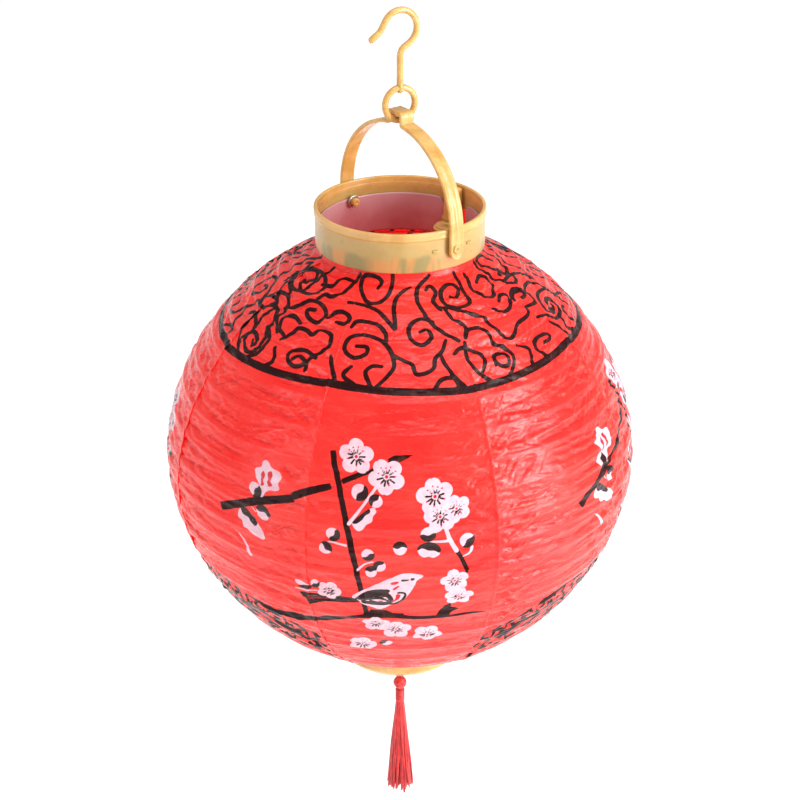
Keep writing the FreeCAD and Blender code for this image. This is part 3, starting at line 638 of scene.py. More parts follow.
# Scrolls of the top: each is a list of (degrees round, mm up the paper).
SCROLLS = [
    [(-13, 113), (-12, 117), (-18, 119), (-25, 118), (-23, 112), (-17, 106), (-11, 106), (-6, 111),
      (-5, 120)],
    [(-26, 104), (-18, 104), (-11, 102), (-5, 97), (-2, 94), (-3, 104), (-1, 110), (6, 114)],
    [(-16, 85), (-12, 85), (-12, 82), (-16, 80), (-20, 83), (-19, 88), (-14, 90), (-7, 88), (-3, 83),
      (-2, 77), (-4, 73), (-7, 69)],
    [(-20, 93), (-18, 96), (-10, 95.5), (-6, 92), (-5, 88)],
    [(-6, 77), (-9, 77), (-11, 74), (-9, 69)],
    [(-37, 74), (-35, 76), (-32, 74), (-35, 71.5), (-38.5, 73), (-39, 77), (-34, 79), (-29, 77)],
    [(-57, 74), (-56, 72), (-55, 75), (-60, 77), (-61, 72), (-56, 69), (-52.5, 73), (-53, 77), (-56, 82)],
    [(-46, 80), (-43, 84), (-41, 87), (-37, 87), (-34, 86), (-32, 89), (-27, 88), (-26, 84), (-28, 80),
      (-31, 76), (-31, 71)],
    [(20, 119), (11, 114), (9, 107), (12, 98), (17, 91), (22, 86)],
    [(8, 92), (11, 93), (12, 89), (8, 86), (4, 89), (4, 95), (9, 98), (14, 96)],
    [(27, 107), (30, 106), (34, 110), (30, 113), (23, 110), (22, 104), (28, 101), (35, 102), (36, 108),
      (39, 118)],
    [(48, 110), (54, 112), (57, 109), (53, 103), (47, 101), (42, 107), (46, 116)],
    [(18, 103), (26, 100), (32, 97), (37, 94), (38, 89), (42, 82), (46, 83), (50, 86), (58, 87),
      (61, 90)],
    [(21, 101), (23, 96), (27, 92), (25, 87), (27, 90), (32, 90), (35, 86), (35, 82), (39, 78), (39, 72),
      (35, 67)],
    [(32, 73), (33, 77), (37, 76.5), (37, 72), (34, 72), (32, 75)],
    [(-2, 82), (1, 80), (4, 78), (5, 74), (8, 74), (11, 76), (12, 80), (15, 83), (17, 87)],
    [(14, 82), (15, 77), (17, 72), (20, 67)],
    [(24, 85), (23, 78), (25, 72), (29, 67)],
    [(19, 81), (22, 83), (26, 81), (29, 77), (27, 72)],
    [(10, 67), (13, 71), (17, 71), (18, 67)],
    [(55, 74), (59, 74), (59, 76.5), (53, 77), (50, 74), (53, 69)],
    [(-28, 119), (-30, 111), (-36, 105), (-41, 105), (-43, 101)],
    [(-60, 99), (-69, 103), (-71, 109), (-64, 113), (-52, 113), (-45, 108), (-48, 103), (-56, 102),
      (-61, 106), (-56, 109)],
    [(-55, 92), (-50, 96), (-45, 100), (-39, 100), (-34, 97), (-35, 92), (-41, 93), (-44, 96), (-40, 97)],
    [(-32, 95), (-30, 98), (-26, 99), (-22, 97), (-23, 94), (-27, 94)],
    [(-50, 82), (-54, 87), (-54, 92), (-59, 97), (-67, 96), (-69, 93)],
    [(-62, 79), (-62, 84), (-60, 89), (-63, 93), (-70, 92), (-71, 87), (-65, 87)],
    [(-48, 109), (-41, 110), (-38, 115), (-30, 115)],
    [(-42, 89), (-47, 91), (-51, 89), (-50, 84), (-46, 82)],
    [(-24, 79), (-22, 74), (-20, 69)],
    [(-16, 76), (-18, 72), (-14, 69)],
    [(-46, 76), (-44, 71), (-47, 67)],
    [(15, 112), (18, 114), (20, 110), (17, 106), (19, 101)],
    [(62, 119), (60, 112), (64, 104), (70, 100), (75, 103), (72, 109), (67, 107)],
    [(58, 96), (64, 98), (70, 94), (68, 89), (62, 90)],
    [(44, 96), (48, 93), (54, 94), (57, 98), (53, 100), (50, 98)],
    [(44, 78), (47, 74), (45, 67)],
    [(62, 84), (67, 82), (71, 78), (78, 78), (81, 83), (76, 86), (73, 83), (76, 81)],
]

# The dark band: its lowest height up the paper, how far it climbs towards every other seam, and its width.
# These heights, and those of the foot panels below, started from the same script as the scene's places.
BAND_LOW = 63.9
BAND_RISE = 2.7
BAND_DEEP = 3.3


def band_at(angle):
    """Height of the band's lower edge at an angle round, in mm up the paper."""
    climb = (angle - GORE_HALF) % 90 / 45
    panel = np.floor((angle + GORE_HALF) / 45)
    return BAND_LOW + BAND_RISE * np.minimum(climb, 2 - climb) + 0.4 * np.sin(2.3 * panel)


def top_print(sheet):
    """The dark band and the scrolls above it."""
    arc = sheet.arcs[:, None]
    low = band_at(sheet.angles)[None, :]
    sheet.far["ink"] = np.minimum(sheet.far["ink"], np.abs(arc - low - BAND_DEEP / 2) - BAND_DEEP / 2)
    for turn in (0, 90, 180, 270):
        for path in SCROLLS:
            across = sum(p[0] for p in path) / len(path)
            if turn in (90, 270) and abs(across) > 31:
                continue
            line = [(math.radians(a - across) * float(radius_at(v)), v) for a, v in path]
            stroke(sheet, turn + across, "ink", line, (1.6, 2.0, 1.8, 2.0, 1.7))


# The foot panels: the slanting upper edge as (degrees, mm up), and lines as (mm below it, width).
FOOT_EDGE = [(-22, -54), (-14, -46), (-5, -40), (6, -36), (14, -36), (22, -38)]
FOOT_LINES = [(0, 2.0), (10, 4.6), (15, 1.8), (24, 2.2), (28, 1.4)]


def foot_print(sheet):
    """Four brocade panels near the foot, each under a slanting edge and mirrored from its neighbours."""
    for turn in (45, 135, 225, 315):
        off = (sheet.angles - turn + 180) % 360 - 180
        if not (np.abs(off) < 40).any():
            continue
        away = 1 if turn % 180 == 45 else -1

        def at(angle, below):
            up = np.interp(angle, [a for a, _ in FOOT_EDGE], [v for _, v in FOOT_EDGE]) - below
            return math.radians(away * angle) * float(radius_at(up)), float(up)

        for below, wide in FOOT_LINES:
            stroke(sheet, turn, "ink", [at(a, below) for a in range(-22, 23, 4)], wide, True)
        for k in range(-20, 22, 4):
            lean = 1.2 * math.sin(k * 1.3)
            curl = [at(k, 1), at(k + lean, 3.4), at(k - lean, 5.6), at(k + 1, 8.4)]
            stroke(sheet, turn, "ink", curl, (1.2, 2.0, 1.6))
            stroke(sheet, turn, "ink", [at(k + 2.2, 3.2), at(k + 2.8, 5), at(k + 2, 6.6)], (0.8, 1.6, 0.9))
        for k in range(-20, 20, 7):
            leaf = [at(k, 18.6), at(k + 2.6, 19.4), at(k + 5.2, 18.8)]
            stroke(sheet, turn, "ink", leaf, (2.0, 3.4, 2.4), True)
            stroke(sheet, turn, "ink", [at(k + 1, 15.6), at(k + 2.6, 17.2)], 1.2)
            stroke(sheet, turn, "ink", [at(k + 3, 20.6), at(k + 3.6, 23.4)], 1.3)


# ------------------------------------------------------------------ materials

class Look:
    """A node material with short calls for the nodes it uses."""

    def __init__(self, name):
        self.material = bpy.data.materials.new(name)
        self.material.use_nodes = True
        self.tree = self.material.node_tree
        self.tree.nodes.clear()
        output = self.tree.nodes.new("ShaderNodeOutputMaterial")
        self.shader = self.tree.nodes.new("ShaderNodeBsdfPrincipled")
        self.link(self.shader.outputs[0], output.inputs["Surface"])
        self.place = self.tree.nodes.new("ShaderNodeTexCoord").outputs["Object"]

    def link(self, source, target):
        self.tree.links.new(source, target)

    def feed(self, socket, value):
        if hasattr(value, "default_value"):
            self.link(value, socket)
        elif value is not None:
            socket.default_value = value

    def set(self, **values):
        """Values or links of the shader's own sockets, named with _ for a space."""
        for name, value in values.items():
            self.feed(self.shader.inputs[name.replace("_", " ")], value)

    def attribute(self, name):
        node = self.tree.nodes.new("ShaderNodeAttribute")
        node.attribute_name = name
        return node.outputs["Fac"]

    def math(self, kind, a, b, c=None):
        node = self.tree.nodes.new("ShaderNodeMath")
        node.operation = kind
        for socket, value in zip(node.inputs, (a, b, c)):
            self.feed(socket, value)
        return node.outputs[0]

    def step(self, value, low, high, to_low=0.0, to_high=1.0):
        """A smooth change from one value to another as the input crosses a range."""
        node = self.tree.nodes.new("ShaderNodeMapRange")
        node.interpolation_type = "SMOOTHSTEP"
        for socket, item in zip(node.inputs, (value, low, high, to_low, to_high)):
            self.feed(socket, item)
        return node.outputs[0]

    def noise(self, scale, detail=2.0, rough=0.5, warp=0.0, stretch=(1, 1, 1)):
        mapping = self.tree.nodes.new("ShaderNodeMapping")
        mapping.inputs["Scale"].default_value = stretch
        self.link(self.place, mapping.inputs["Vector"])
        node = self.tree.nodes.new("ShaderNodeTexNoise")
        self.link(mapping.outputs[0], node.inputs["Vector"])
        node.inputs["Scale"].default_value = scale
        node.inputs["Detail"].default_value = detail
        node.inputs["Roughness"].default_value = rough
        node.inputs["Distortion"].default_value = warp
        return node.outputs["Fac"]

    def blend(self, share, a, b):
        node = self.tree.nodes.new("ShaderNodeMix")
        node.data_type = "RGBA"
        for socket, value in ((node.inputs["Factor"], share), (node.inputs[6], a), (node.inputs[7], b)):
            if isinstance(value, tuple):
                value = (*value, 1.0)
            self.feed(socket, value)
        return node.outputs[2]

    def part(self, axis):
        node = self.tree.nodes.new("ShaderNodeSeparateXYZ")
        self.link(self.place, node.inputs[0])
        return node.outputs[axis]

    def bump(self, height, depth, under=None):
        node = self.tree.nodes.new("ShaderNodeBump")
        node.inputs["Distance"].default_value = depth
        self.feed(node.inputs["Height"], height)
        self.feed(node.inputs["Normal"], under)
        return node.outputs[0]


PAPER_RED = (0.90, 0.014, 0.011)
PAPER_LIGHT = (0.95, 0.034, 0.024)
# Deep red for the fibre grain, and painted shade in the crease valleys.
PAPER_GRAIN_AND_SHADE = (0.62, 0.005, 0.005)
# Painted highlight on the crease crests.
PAPER_CREST_HIGHLIGHT = (0.98, 0.13, 0.09)
INK = (0.020, 0.003, 0.003)
INK_THIN = (0.090, 0.026, 0.014)
BLOOM = (0.80, 0.54, 0.61)
BLOOM_THIN = (0.78, 0.42, 0.50)
DAB = (0.62, 0.012, 0.02)


def paper_look():
    """Glossy waxed paper with its print: dark under the blossoms, then their white, then marks and dabs.
    Painted shade darkens its crease valleys, painted highlights lighten its crease crests, and its inner face
    has a painted glow.
    """
    look = Look("printed_paper")
    tone = look.noise(28, 3, 0.6)
    red = look.blend(look.step(tone, 0.3, 0.75), PAPER_RED, PAPER_LIGHT)
    grain = look.noise(420, 3, 0.7, 0.4, (1, 1, 0.6))
    red = look.blend(look.step(grain, 0.45, 0.8, 0, 0.35), red, PAPER_GRAIN_AND_SHADE)
    # Painted shade in the crease valleys and painted highlights on the crease crests, where the relief's
    # creases fall and rise.
    crease_shading = look.attribute("crease_shading")
    red = look.blend(look.step(crease_shading, -0.05, -0.6, 0, 0.6), red, PAPER_GRAIN_AND_SHADE)
    red = look.blend(look.step(crease_shading, 0.15, 0.8, 0, 0.35), red, PAPER_CREST_HIGHLIGHT)
    ragged = look.noise(700, 2)
    dry = look.noise(160, 4, 0.75, 0.6, (1, 1, 0.5))
    ink = look.blend(look.step(dry, 0.52, 0.78, 0, 0.8), INK, INK_THIN)
    bloom = look.blend(look.step(look.noise(240, 3, 0.7), 0.35, 0.75), BLOOM, BLOOM_THIN)
    colour = red
    layers = [("ink", ink, 0.4), ("bloom", bloom, 0.2), ("mark", ink, 0.12), ("dab", DAB, 0.1)]
    for layer, tint, rough in layers:
        edge = look.math("ADD", look.attribute(layer), look.math("MULTIPLY_ADD", ragged, rough, -rough / 2))
        colour = look.blend(look.step(edge, 0.10, -0.14), colour, tint)
    # The emission is a painted glow on the inner face, in the printed colour, standing in for light through
    # the paper.
    look.set(Base_Color=colour, Roughness=look.step(look.noise(55, 3, 0.6), 0.3, 0.7, 0.13, 0.22),
             Specular_IOR_Level=look.step(look.attribute("ink"), -0.1, 0.1, 0.14, 0.36),
             Emission_Color=colour,
             Emission_Strength=look.math("MULTIPLY", look.attribute("inner"), 0.40))
    fine = look.noise(330, 5, 0.72, 1.2, (1, 1, 2.8))
    crush = look.noise(95, 4, 0.65, 1.6, (1, 1, 2.4))
    look.set(Normal=look.bump(fine, 0.00006, look.bump(crush, 0.0006)))
    return look.material


GOLD = (0.56, 0.31, 0.070)
GOLD_LIGHT = (0.70, 0.43, 0.15)
GOLD_DEEP = (0.43, 0.21, 0.035)


def gold_look(name="gold_plastic_look", swirl=30):
    """Pearly moulded plastic: soft swirls, a slight glow and a clear gloss."""
    look = Look(name)
    flow = look.noise(swirl, 3, 0.6, 1.5, (1, 1, 2.2))
    colour = look.blend(look.step(flow, 0.35, 0.7), GOLD, GOLD_LIGHT)
    colour = look.blend(look.step(look.noise(swirl * 2.6, 2, 0.6, 0.8), 0.5, 0.8, 0, 0.5), colour, GOLD_DEEP)
    look.set(Base_Color=colour, Roughness=look.step(look.noise(90, 2), 0.3, 0.7, 0.26, 0.40),
             Subsurface_Weight=0.35, Subsurface_Radius=(0.9, 0.5, 0.2), Subsurface_Scale=0.004,
             Coat_Weight=0.25, Coat_Roughness=0.12,
             Normal=look.bump(look.noise(160, 3, 0.6), 0.00012))
    return look


def ring_look():
    """The same plastic, thin enough that the red paper shows through its lower half; that show-through is
    painted into its colour.
    """
    look = gold_look("ring_plastic_look", 22)
    colour = look.shader.inputs["Base Color"].links[0].from_socket
    height = look.part(2)
    # Painted show-through: below a wavy edge near the bottom, the wall takes the orange and olive of the
    # paper seen through it.
    around = look.noise(46, 3, 0.6, 0.8, (1, 1, 0.25))
    edge = look.math("MULTIPLY_ADD", around, 0.013, (RING_LOW + 0.2) * MM)
    shade = look.step(look.math("SUBTRACT", height, edge), 0.0012, -0.0012)
    stripes = look.step(look.noise(70, 2, 0.6, 0.9, (1, 1, 0.3)), 0.50, 0.62)
    behind = look.blend(stripes, (0.66, 0.26, 0.06), (0.26, 0.21, 0.06))
    green = look.blend(0.6, colour, (0.40, 0.29, 0.09))
    colour = look.blend(look.step(height, (RING_TOP - 2.4) * MM, (RING_TOP - 5) * MM), colour, green)
    look.set(Base_Color=look.blend(look.math("MULTIPLY", shade, 0.75), colour, behind))
    return look.material


def card_look():
    """Satin card, pink at the top, with painted shade and painted red light from the paper making it darker
    and redder towards the paper below.
    """
    look = Look("satin_card_look")
    height = look.part(2)
    # Painted shade and painted red light from the paper: the card turns darker and redder lower down, where
    # it reaches into the paper's neck.
    neck_shade = look.step(height, (RING_TOP - 7) * MM, (RING_LOW - 4) * MM)
    cloud = look.noise(40, 3, 0.6)
    colour = look.blend(neck_shade, (0.54, 0.25, 0.27), (0.46, 0.08, 0.09))
    colour = look.blend(look.step(cloud, 0.3, 0.8, 0, 0.5), colour, (0.62, 0.34, 0.36))
    look.set(Base_Color=colour, Roughness=0.42, Metallic=0.15, Sheen_Weight=0.2,
             Normal=look.bump(look.noise(900, 2), 0.00004))
    return look.material


def steel_look():
    """Bright drawn wire with fine streaks."""
    look = Look("spring_steel_look")
    streak = look.noise(700, 3, 0.6, 0.2, (1, 1, 4))
    look.set(Base_Color=look.blend(streak, (0.50, 0.48, 0.46), (0.78, 0.76, 0.74)), Metallic=0.95,
             Roughness=look.step(look.noise(300, 2), 0.3, 0.7, 0.2, 0.38),
             Normal=look.bump(streak, 0.00003))
    return look.material


def silk_look(name, stretch=(1, 1, 0.06), scale=2600):
    """Shiny red thread."""
    look = Look(name)
    strand = look.noise(scale, 2, 0.5, 0.0, stretch)
    shade = look.noise(240, 2, 0.6)
    colour = look.blend(look.step(strand, 0.35, 0.7), (0.42, 0.004, 0.008), (0.80, 0.016, 0.016))
    colour = look.blend(look.step(shade, 0.4, 0.8, 0, 0.5), colour, (0.90, 0.05, 0.04))
    look.set(Base_Color=colour, Roughness=0.38, Sheen_Weight=0.4, Sheen_Roughness=0.4,
             Normal=look.bump(strand, 0.00012))
    return look.material


PAPER = paper_look()
GOLD_PLASTIC = gold_look().material
RING_PLASTIC = ring_look()
CARD = card_look()
STEEL = steel_look()
SILK = silk_look("silk_look")
THREAD = silk_look("silk_thread_look", (1, 1, 1), 1800)


def dress(piece, material, body, slot, *nodes):
    """Gives a piece its material and its body, and hides the CAD nodes that it stands for; the slot is not
    used.
    """
    piece.data.materials.append(material)
    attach(piece, body)
    if nodes:
        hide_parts(*nodes)
    return piece


def dress_node(name, material):
    """A CAD node that stays, with a finished material."""
    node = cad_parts[name]
    node.data.materials.clear()
    node.data.materials.append(material)


# ------------------------------------------------------------------ paper gores

# Mesh pitch, paper thickness and width of the glued lap, in mm.
PITCH = 0.56
THICK = 0.25
LAP = 1.3
# Degrees by which the scenes at the sides sit further round than an even quarter.
SIDE_SHIFT = 3.5


def make_gore(index):
    """One paper panel: a thin closed shell with its neck inside the ring and a lap over the next seam."""
    centre = (index - 1) * 45.0
    pitch = PITCH * 1
    columns = int(round(math.radians(45) * RADIUS / pitch)) + 1
    lap_columns = 3
    angles = np.linspace(-GORE_HALF, GORE_HALF, columns)
    lap_angles = GORE_HALF + math.degrees(LAP / RADIUS) * np.arange(1, lap_columns + 1) / lap_columns
    angles = np.concatenate([angles, lap_angles])
    rows = int(round((ARC_TOP - ARC_LOW) / pitch)) + 1
    arcs = np.linspace(ARC_LOW, ARC_TOP, rows)
    neck_rows = 12
    neck = np.arange(1, neck_rows + 1) / neck_rows
    sheet = Sheet(centre - 315.0, angles, np.concatenate([arcs, ARC_TOP + neck * (NECK_RISE + 3)]))
    sheet.radii = np.concatenate([radius_at(arcs), np.full(neck_rows, RING_BORE)])

    turns = np.interp(arcs, ARCS, TURNS)
    radius, rise = body_at(turns)
    slope_r = radius ** (ROUNDNESS - 1) / RADIUS ** ROUNDNESS
    slope_z = np.abs(rise) ** (ROUNDNESS - 1) / HALF_HEIGHT ** ROUNDNESS * np.sign(rise)
    size = np.hypot(slope_r, slope_z)
    out_r, out_z = slope_r / size, slope_z / size

    across = np.radians(angles)[None, :] * radius[:, None]
    seam = (GORE_HALF - np.abs(np.minimum(angles, GORE_HALF)))[None, :] * np.radians(1) * radius[:, None]
    stand, crease_shading = relief(across, np.repeat(arcs[:, None], len(angles), 1), index, seam)
    # The lap lies over the next panel, and the panel's other edge lies under its neighbour.
    lap = np.clip((angles - GORE_HALF + 0.35) / 0.5, 0, 1)[None, :]
    stand = stand + 0.22 * lap
    ends = np.clip((arcs - ARC_LOW) / 5, 0, 1) * np.clip((ARC_TOP - arcs) / 3, 0, 1)
    stand = stand * ends[:, None]

    turned = np.radians(angles + centre + BODY_TURN)

    def surface(inset):
        far = stand - inset
        r = radius[:, None] + far * out_r[:, None]
        z = rise[:, None] + far * out_z[:, None] + MIDDLE
        # The neck bends up and runs inside the ring to a wavy torn edge.
        top_r, top_z = r[-1], z[-1]
        wavy = NECK_RISE + 1.6 * noise(angles / 7 + index * 3.1, angles * 0 + 5, 11)
        inner = RING_BORE - 0.1 - inset + 0.05 * lap[0]
        share = neck[:, None]
        ease = np.clip(share * 4.2, 0, 1)
        neck_r = top_r + (inner - top_r) * (1 - (1 - ease) ** 2)
        neck_z = top_z + (wavy + RING_LOW - top_z)[None, :] * share
        r, z = np.concatenate([r, neck_r]), np.concatenate([z, neck_z])
        return np.stack([r * np.cos(turned), r * np.sin(turned), z], -1)

    outside, inside = surface(0.0), surface(THICK)
    height, width = outside.shape[:2]
    points = np.concatenate([outside.reshape(-1, 3), inside.reshape(-1, 3)])
    count = height * width
    piece = add_mesh("paper_panel_%d" % index, points, shell_faces(height, width))

    scene_angle = round((centre - 315.0) / 90) * 90
    for turn in (scene_angle - 90, scene_angle, scene_angle + 90):
        scene_print(sheet, turn + SIDE_SHIFT * math.sin(math.radians(turn)))
    top_print(sheet)
    foot_print(sheet)
    fields = {name: np.tile(sheet.far[name].ravel(), 2) for name in LAYERS}
    # The creases' rise and fall, which the material turns into painted shade and highlights.
    fields["crease_shading"] = np.tile(np.concatenate([crease_shading.ravel(), np.zeros(neck_rows * width)]), 2)
    # 1 on the inner face, where the material paints a glow.
    fields["inner"] = np.repeat([0.0, 1.0], count)
    for name, values in fields.items():
        layer = piece.data.attributes.new(name, "FLOAT", "POINT")
        layer.data.foreach_set("value", values.astype(np.float32))
    dress(piece, PAPER, "lantern", "red_paper", "paper_gore_%d" % index)


for gore_index in range(1, 9):
    make_gore(gore_index)


# ------------------------------------------------------------------ top ring and cards

def make_ring():
    """The collar with rounded edges, a beaded rim, and a nib each side of each peg."""
    under = RING_TOP - 2.4
    wall = lathe(rounded([
        (RING_BORE, RING_LOW, 0.4), (RING_OUTER, RING_LOW, 0.5), (RING_OUTER, under - 1.4, 1.5),
        (BEAD_OUTER, under - 0.5, 0.6), (BEAD_OUTER - 0.12, under + 0.35, 0.3),
        (BEAD_OUTER, RING_TOP - 1.1, 0.4), (BEAD_OUTER, RING_TOP, 0.55),
        (RING_BORE + 0.1, RING_TOP, 0.45), (RING_BORE + 0.1, RING_TOP - 2.2, 0.4),
        (RING_BORE, RING_TOP - 2.7, 0.3),
    ]), 240)
    parts = [wall]
    for side in (0, 180):
        for lean in (-14, 14):
            turn = math.radians(side + lean)
            out = np.array([math.cos(turn), math.sin(turn), 0])
            along = np.array([-math.sin(turn), math.cos(turn), 0])
            middle = out * (RING_OUTER + 0.12) + np.array([0, 0, PIVOT])
            parts.append(tube([middle - along * 0.85, middle, middle + along * 0.85], 0.58, 12))
    piece = add_mesh("top_ring_wall", *join_parts(parts))
    return dress(piece, RING_PLASTIC, "lantern", "pearl_gold_plastic", "top_ring")


def make_card(name, turn):
    """A curved card inside the ring with rounded upper corners."""
    half = 90 - math.degrees(math.asin(SLOT_HALF / RING_BORE))
    low, high = RING_LOW - CARD_DOWN, RING_TOP - CARD_DOWN
    columns, rows = 121, 25
    angles = np.linspace(-half, half, columns)
    edge = np.clip((half - np.abs(angles)) * math.radians(1) * RING_BORE / 3.5, 0, 1)
    drop = 3.5 * (1 - np.sqrt(1 - (1 - edge) ** 2))
    share = np.linspace(0, 1, rows)[:, None]
    height = low + share * (high - drop - low)[None, :]
    shells = []
    for inset in (0.42, 0.72):
        radius = RING_BORE - inset - 0.25 * np.clip((RING_LOW - height) / 6, 0, 1)
        turned = np.radians(angles + turn + BODY_TURN)
        shells.append(np.stack([radius * np.cos(turned), radius * np.sin(turned), height], -1).reshape(-1, 3))
    piece = add_mesh(name, np.concatenate(shells), shell_faces(rows, columns))
    return dress(piece, CARD, "lantern", "pink_card", name.replace("card_sheet", "neck_card"))


make_ring()
make_card("card_sheet_right", 0)
make_card("card_sheet_left", 180)


# ------------------------------------------------------------------ handle, hook and clips

def arc_line(centre, radius, start, end, count):
    """Points along an arc, between two angles in degrees."""
    turn = np.radians(np.linspace(start, end, count))
    return [(centre[0] + radius * math.cos(t), centre[1] + radius * math.sin(t)) for t in turn]


def make_handle():
    """A strap with lengthwise ridges on its legs, a raised bridge for the eye, and two pegs."""
    middle = LEG_INSIDE + STRAP_THICK / 2
    arch = PIVOT + LEG_RISE
    wall = BRIDGE_HALF
    plate = HANDLE_TOP - STRAP_THICK / 2
    meet = math.degrees(math.acos(wall / middle))
    side = [(middle, HANDLE_LOW), (middle, HANDLE_LOW + 4), (middle, arch)]
    side += arc_line((0, arch), middle, 0, meet - 1.2, 60)[1:]
    corner = (wall, arch + math.sqrt(middle ** 2 - wall ** 2))
    outline = [(x, z, 0) for x, z in side] + [(corner[0], corner[1], 1.0), (wall, plate, 1.25)]
    outline = outline + [(-x, z, r) for x, z, r in outline[::-1]]
    line = rounded(outline, 6)
    steps = np.linalg.norm(np.diff(line, axis=0), axis=1)
    long = np.concatenate([[0], np.cumsum(steps)])
    even = np.unique(np.concatenate([np.arange(0, long[-1], 0.6), long]))
    even = even[np.concatenate([[True], np.diff(even) > 0.05])]
    x, z = np.interp(even, long, line[:, 0]), np.interp(even, long, line[:, 1])
    from_end = np.minimum(even, even[-1] - even)
    ahead = np.stack([np.gradient(x), np.gradient(z)], -1)
    ahead /= np.linalg.norm(ahead, axis=1)[:, None]
    out = np.stack([ahead[:, 1], -ahead[:, 0]], -1)
    half = STRAP_WIDE / 2
    sides = 44
    share = np.arange(sides) / sides
    # The section: a flat rounded bar, with an outer face that carries two edge beads and a middle ridge.
    section = rounded([(half, -0.8, 0.45), (half, 0.8, 0.45), (-half, 0.8, 0.45), (-half, -0.8, 0.45)], 5)
    loop = np.vstack([section, section[:1]])
    walk = np.concatenate([[0], np.cumsum(np.linalg.norm(np.diff(loop, axis=0), axis=1))])
    across = np.interp(share * walk[-1], walk, loop[:, 0])
    deep = np.interp(share * walk[-1], walk, loop[:, 1])
    leg = np.clip((34 - from_end) / 16, 0, 1)
    points = []
    for k in range(len(even)):
        reach = from_end[k]
        narrow = math.sqrt(max(0.02, 1 - (1 - min(reach / half, 1)) ** 2))
        wide = across * narrow
        beads = np.exp(-((np.abs(wide) - half * narrow * 0.82) / 0.55) ** 2)
        ridge = 0.42 * np.exp(-(wide / 0.9) ** 2) + 0.30 * beads
        strong = 0.25 + 0.75 * leg[k]
        lift = np.where(deep > 0, ridge * strong - 0.22 * strong, 0)
        swell = deep + lift
        points.append(np.stack([x[k] + out[k, 0] * swell, wide, z[k] + out[k, 1] * swell], -1))
    points = np.concatenate(points)
    faces = [face[::-1] for face in grid_faces(len(even), sides, False, True)]
    faces.append(tuple(range(sides)))
    faces.append(tuple((len(even) - 1) * sides + k for k in range(sides))[::-1])
    parts = [(points, faces)]
    tip = LEG_INSIDE - PEG_REACH
    base = LEG_INSIDE + 0.6
    peg = [(0.02, tip), (1.35, tip), (1.65, tip + 0.15), (PEG_RADIUS, tip + 0.5), (PEG_RADIUS, base),
           (0.02, base)]
    boss = [(0.02, LEG_INSIDE + 1.2), (1.9, LEG_INSIDE + 1.2), (1.9, LEG_INSIDE + 1.75),
            (1.55, LEG_INSIDE + 2.0), (0.9, LEG_INSIDE + 1.85), (0.02, LEG_INSIDE + 1.8)]
    for sign in (1, -1):
        for outline in (peg, boss):
            some, quads = lathe(outline, 40)
            some = np.stack([sign * some[:, 2], some[:, 0], some[:, 1] + PIVOT], -1)
            parts.append((some, quads if sign > 0 else [quad[::-1] for quad in quads]))
    piece = add_mesh("handle_strap", *join_parts(parts))
    return dress(piece, GOLD_PLASTIC, "handle", "gold_plastic", "handle")


def make_hook():
    """A moulded rod: open crook, bent shank and round eye, in a plane turned about Z."""
    bend, centre = 7.5, -6.2
    leave, far, out = math.radians(60), math.radians(150), math.radians(25)
    jog, flare = 4.5, 5.0
    drop_run, tip_run = 3.6, 3.4
    shank_low = HOOK_LOW + 2 * EYE_MIDDLE + HOOK_WIRE
    meet = np.array([bend * math.cos(leave), centre - bend * math.sin(leave)])
    run = (meet[0] - jog * (1 - math.cos(leave))) / math.sin(leave)
    jog_end = meet - run * np.array([math.sin(leave), math.cos(leave)])
    jog_start = np.array([0, jog_end[1] - jog * math.sin(leave)])
    line = [(0, shank_low - 0.6), (0, shank_low + 1), (0, (shank_low + jog_start[1]) / 2)]
    line += arc_line((jog, jog_start[1]), jog, 180, 120, 10)
    line += arc_line((0, centre), bend, -60, 150, 60)
    toward = np.array([math.cos(far), math.sin(far)])
    drop_end = np.array([0, centre]) + toward * bend + np.array([-toward[1], toward[0]]) * drop_run
    line += arc_line(drop_end + toward * flare, flare, 150 + 180, 150 + 180 - 25, 10)
    tip = np.array(line[-1]) + np.array([-math.sin(far - out), math.cos(far - out)]) * tip_run
    line += [tuple((np.array(line[-1]) + tip) / 2), tuple(tip)]
    line = np.array([(a, 0, b) for a, b in line])
    thick = np.full(len(line), HOOK_WIRE)
    thick[0], thick[1] = HOOK_WIRE * 1.3, HOOK_WIRE * 1.06
    rod = tube(line, thick, 20)
    turn = np.arange(96) * 2 * math.pi / 96
    eye_z = HOOK_LOW + HOOK_WIRE + EYE_MIDDLE
    round_eye = np.stack([EYE_MIDDLE * np.cos(turn), 0 * turn, eye_z + EYE_MIDDLE * np.sin(turn)], -1)
    eye = tube(round_eye, HOOK_WIRE, 20, True)
    points, faces = join_parts([rod, eye])
    piece = add_mesh("hook_rod", turned_round(points, HOOK_TURN), faces)
    return dress(piece, GOLD_PLASTIC, "hook", "gold_plastic", "hook")


def make_clips():
    """A turn and a half of spring wire round each peg."""
    parts = []
    for sign in (1, -1):
        t = np.linspace(0, 1.6 * 2 * math.pi, 60)
        grow = 2.2 + 0.02 * t
        place = RING_BORE - 1.5 - 0.42 * t / (2 * math.pi)
        coil = np.stack([sign * place, grow * np.cos(t + 0.6), PIVOT + grow * np.sin(t + 0.6)], -1)
        parts.append(tube(coil, 0.36, 10))
    piece = add_mesh("peg_spring_clips", *join_parts(parts))
    return dress(piece, STEEL, "handle", "spring_steel", "peg_clips")


make_handle()
make_hook()
make_clips()


# ------------------------------------------------------------------ struts, cap and plate

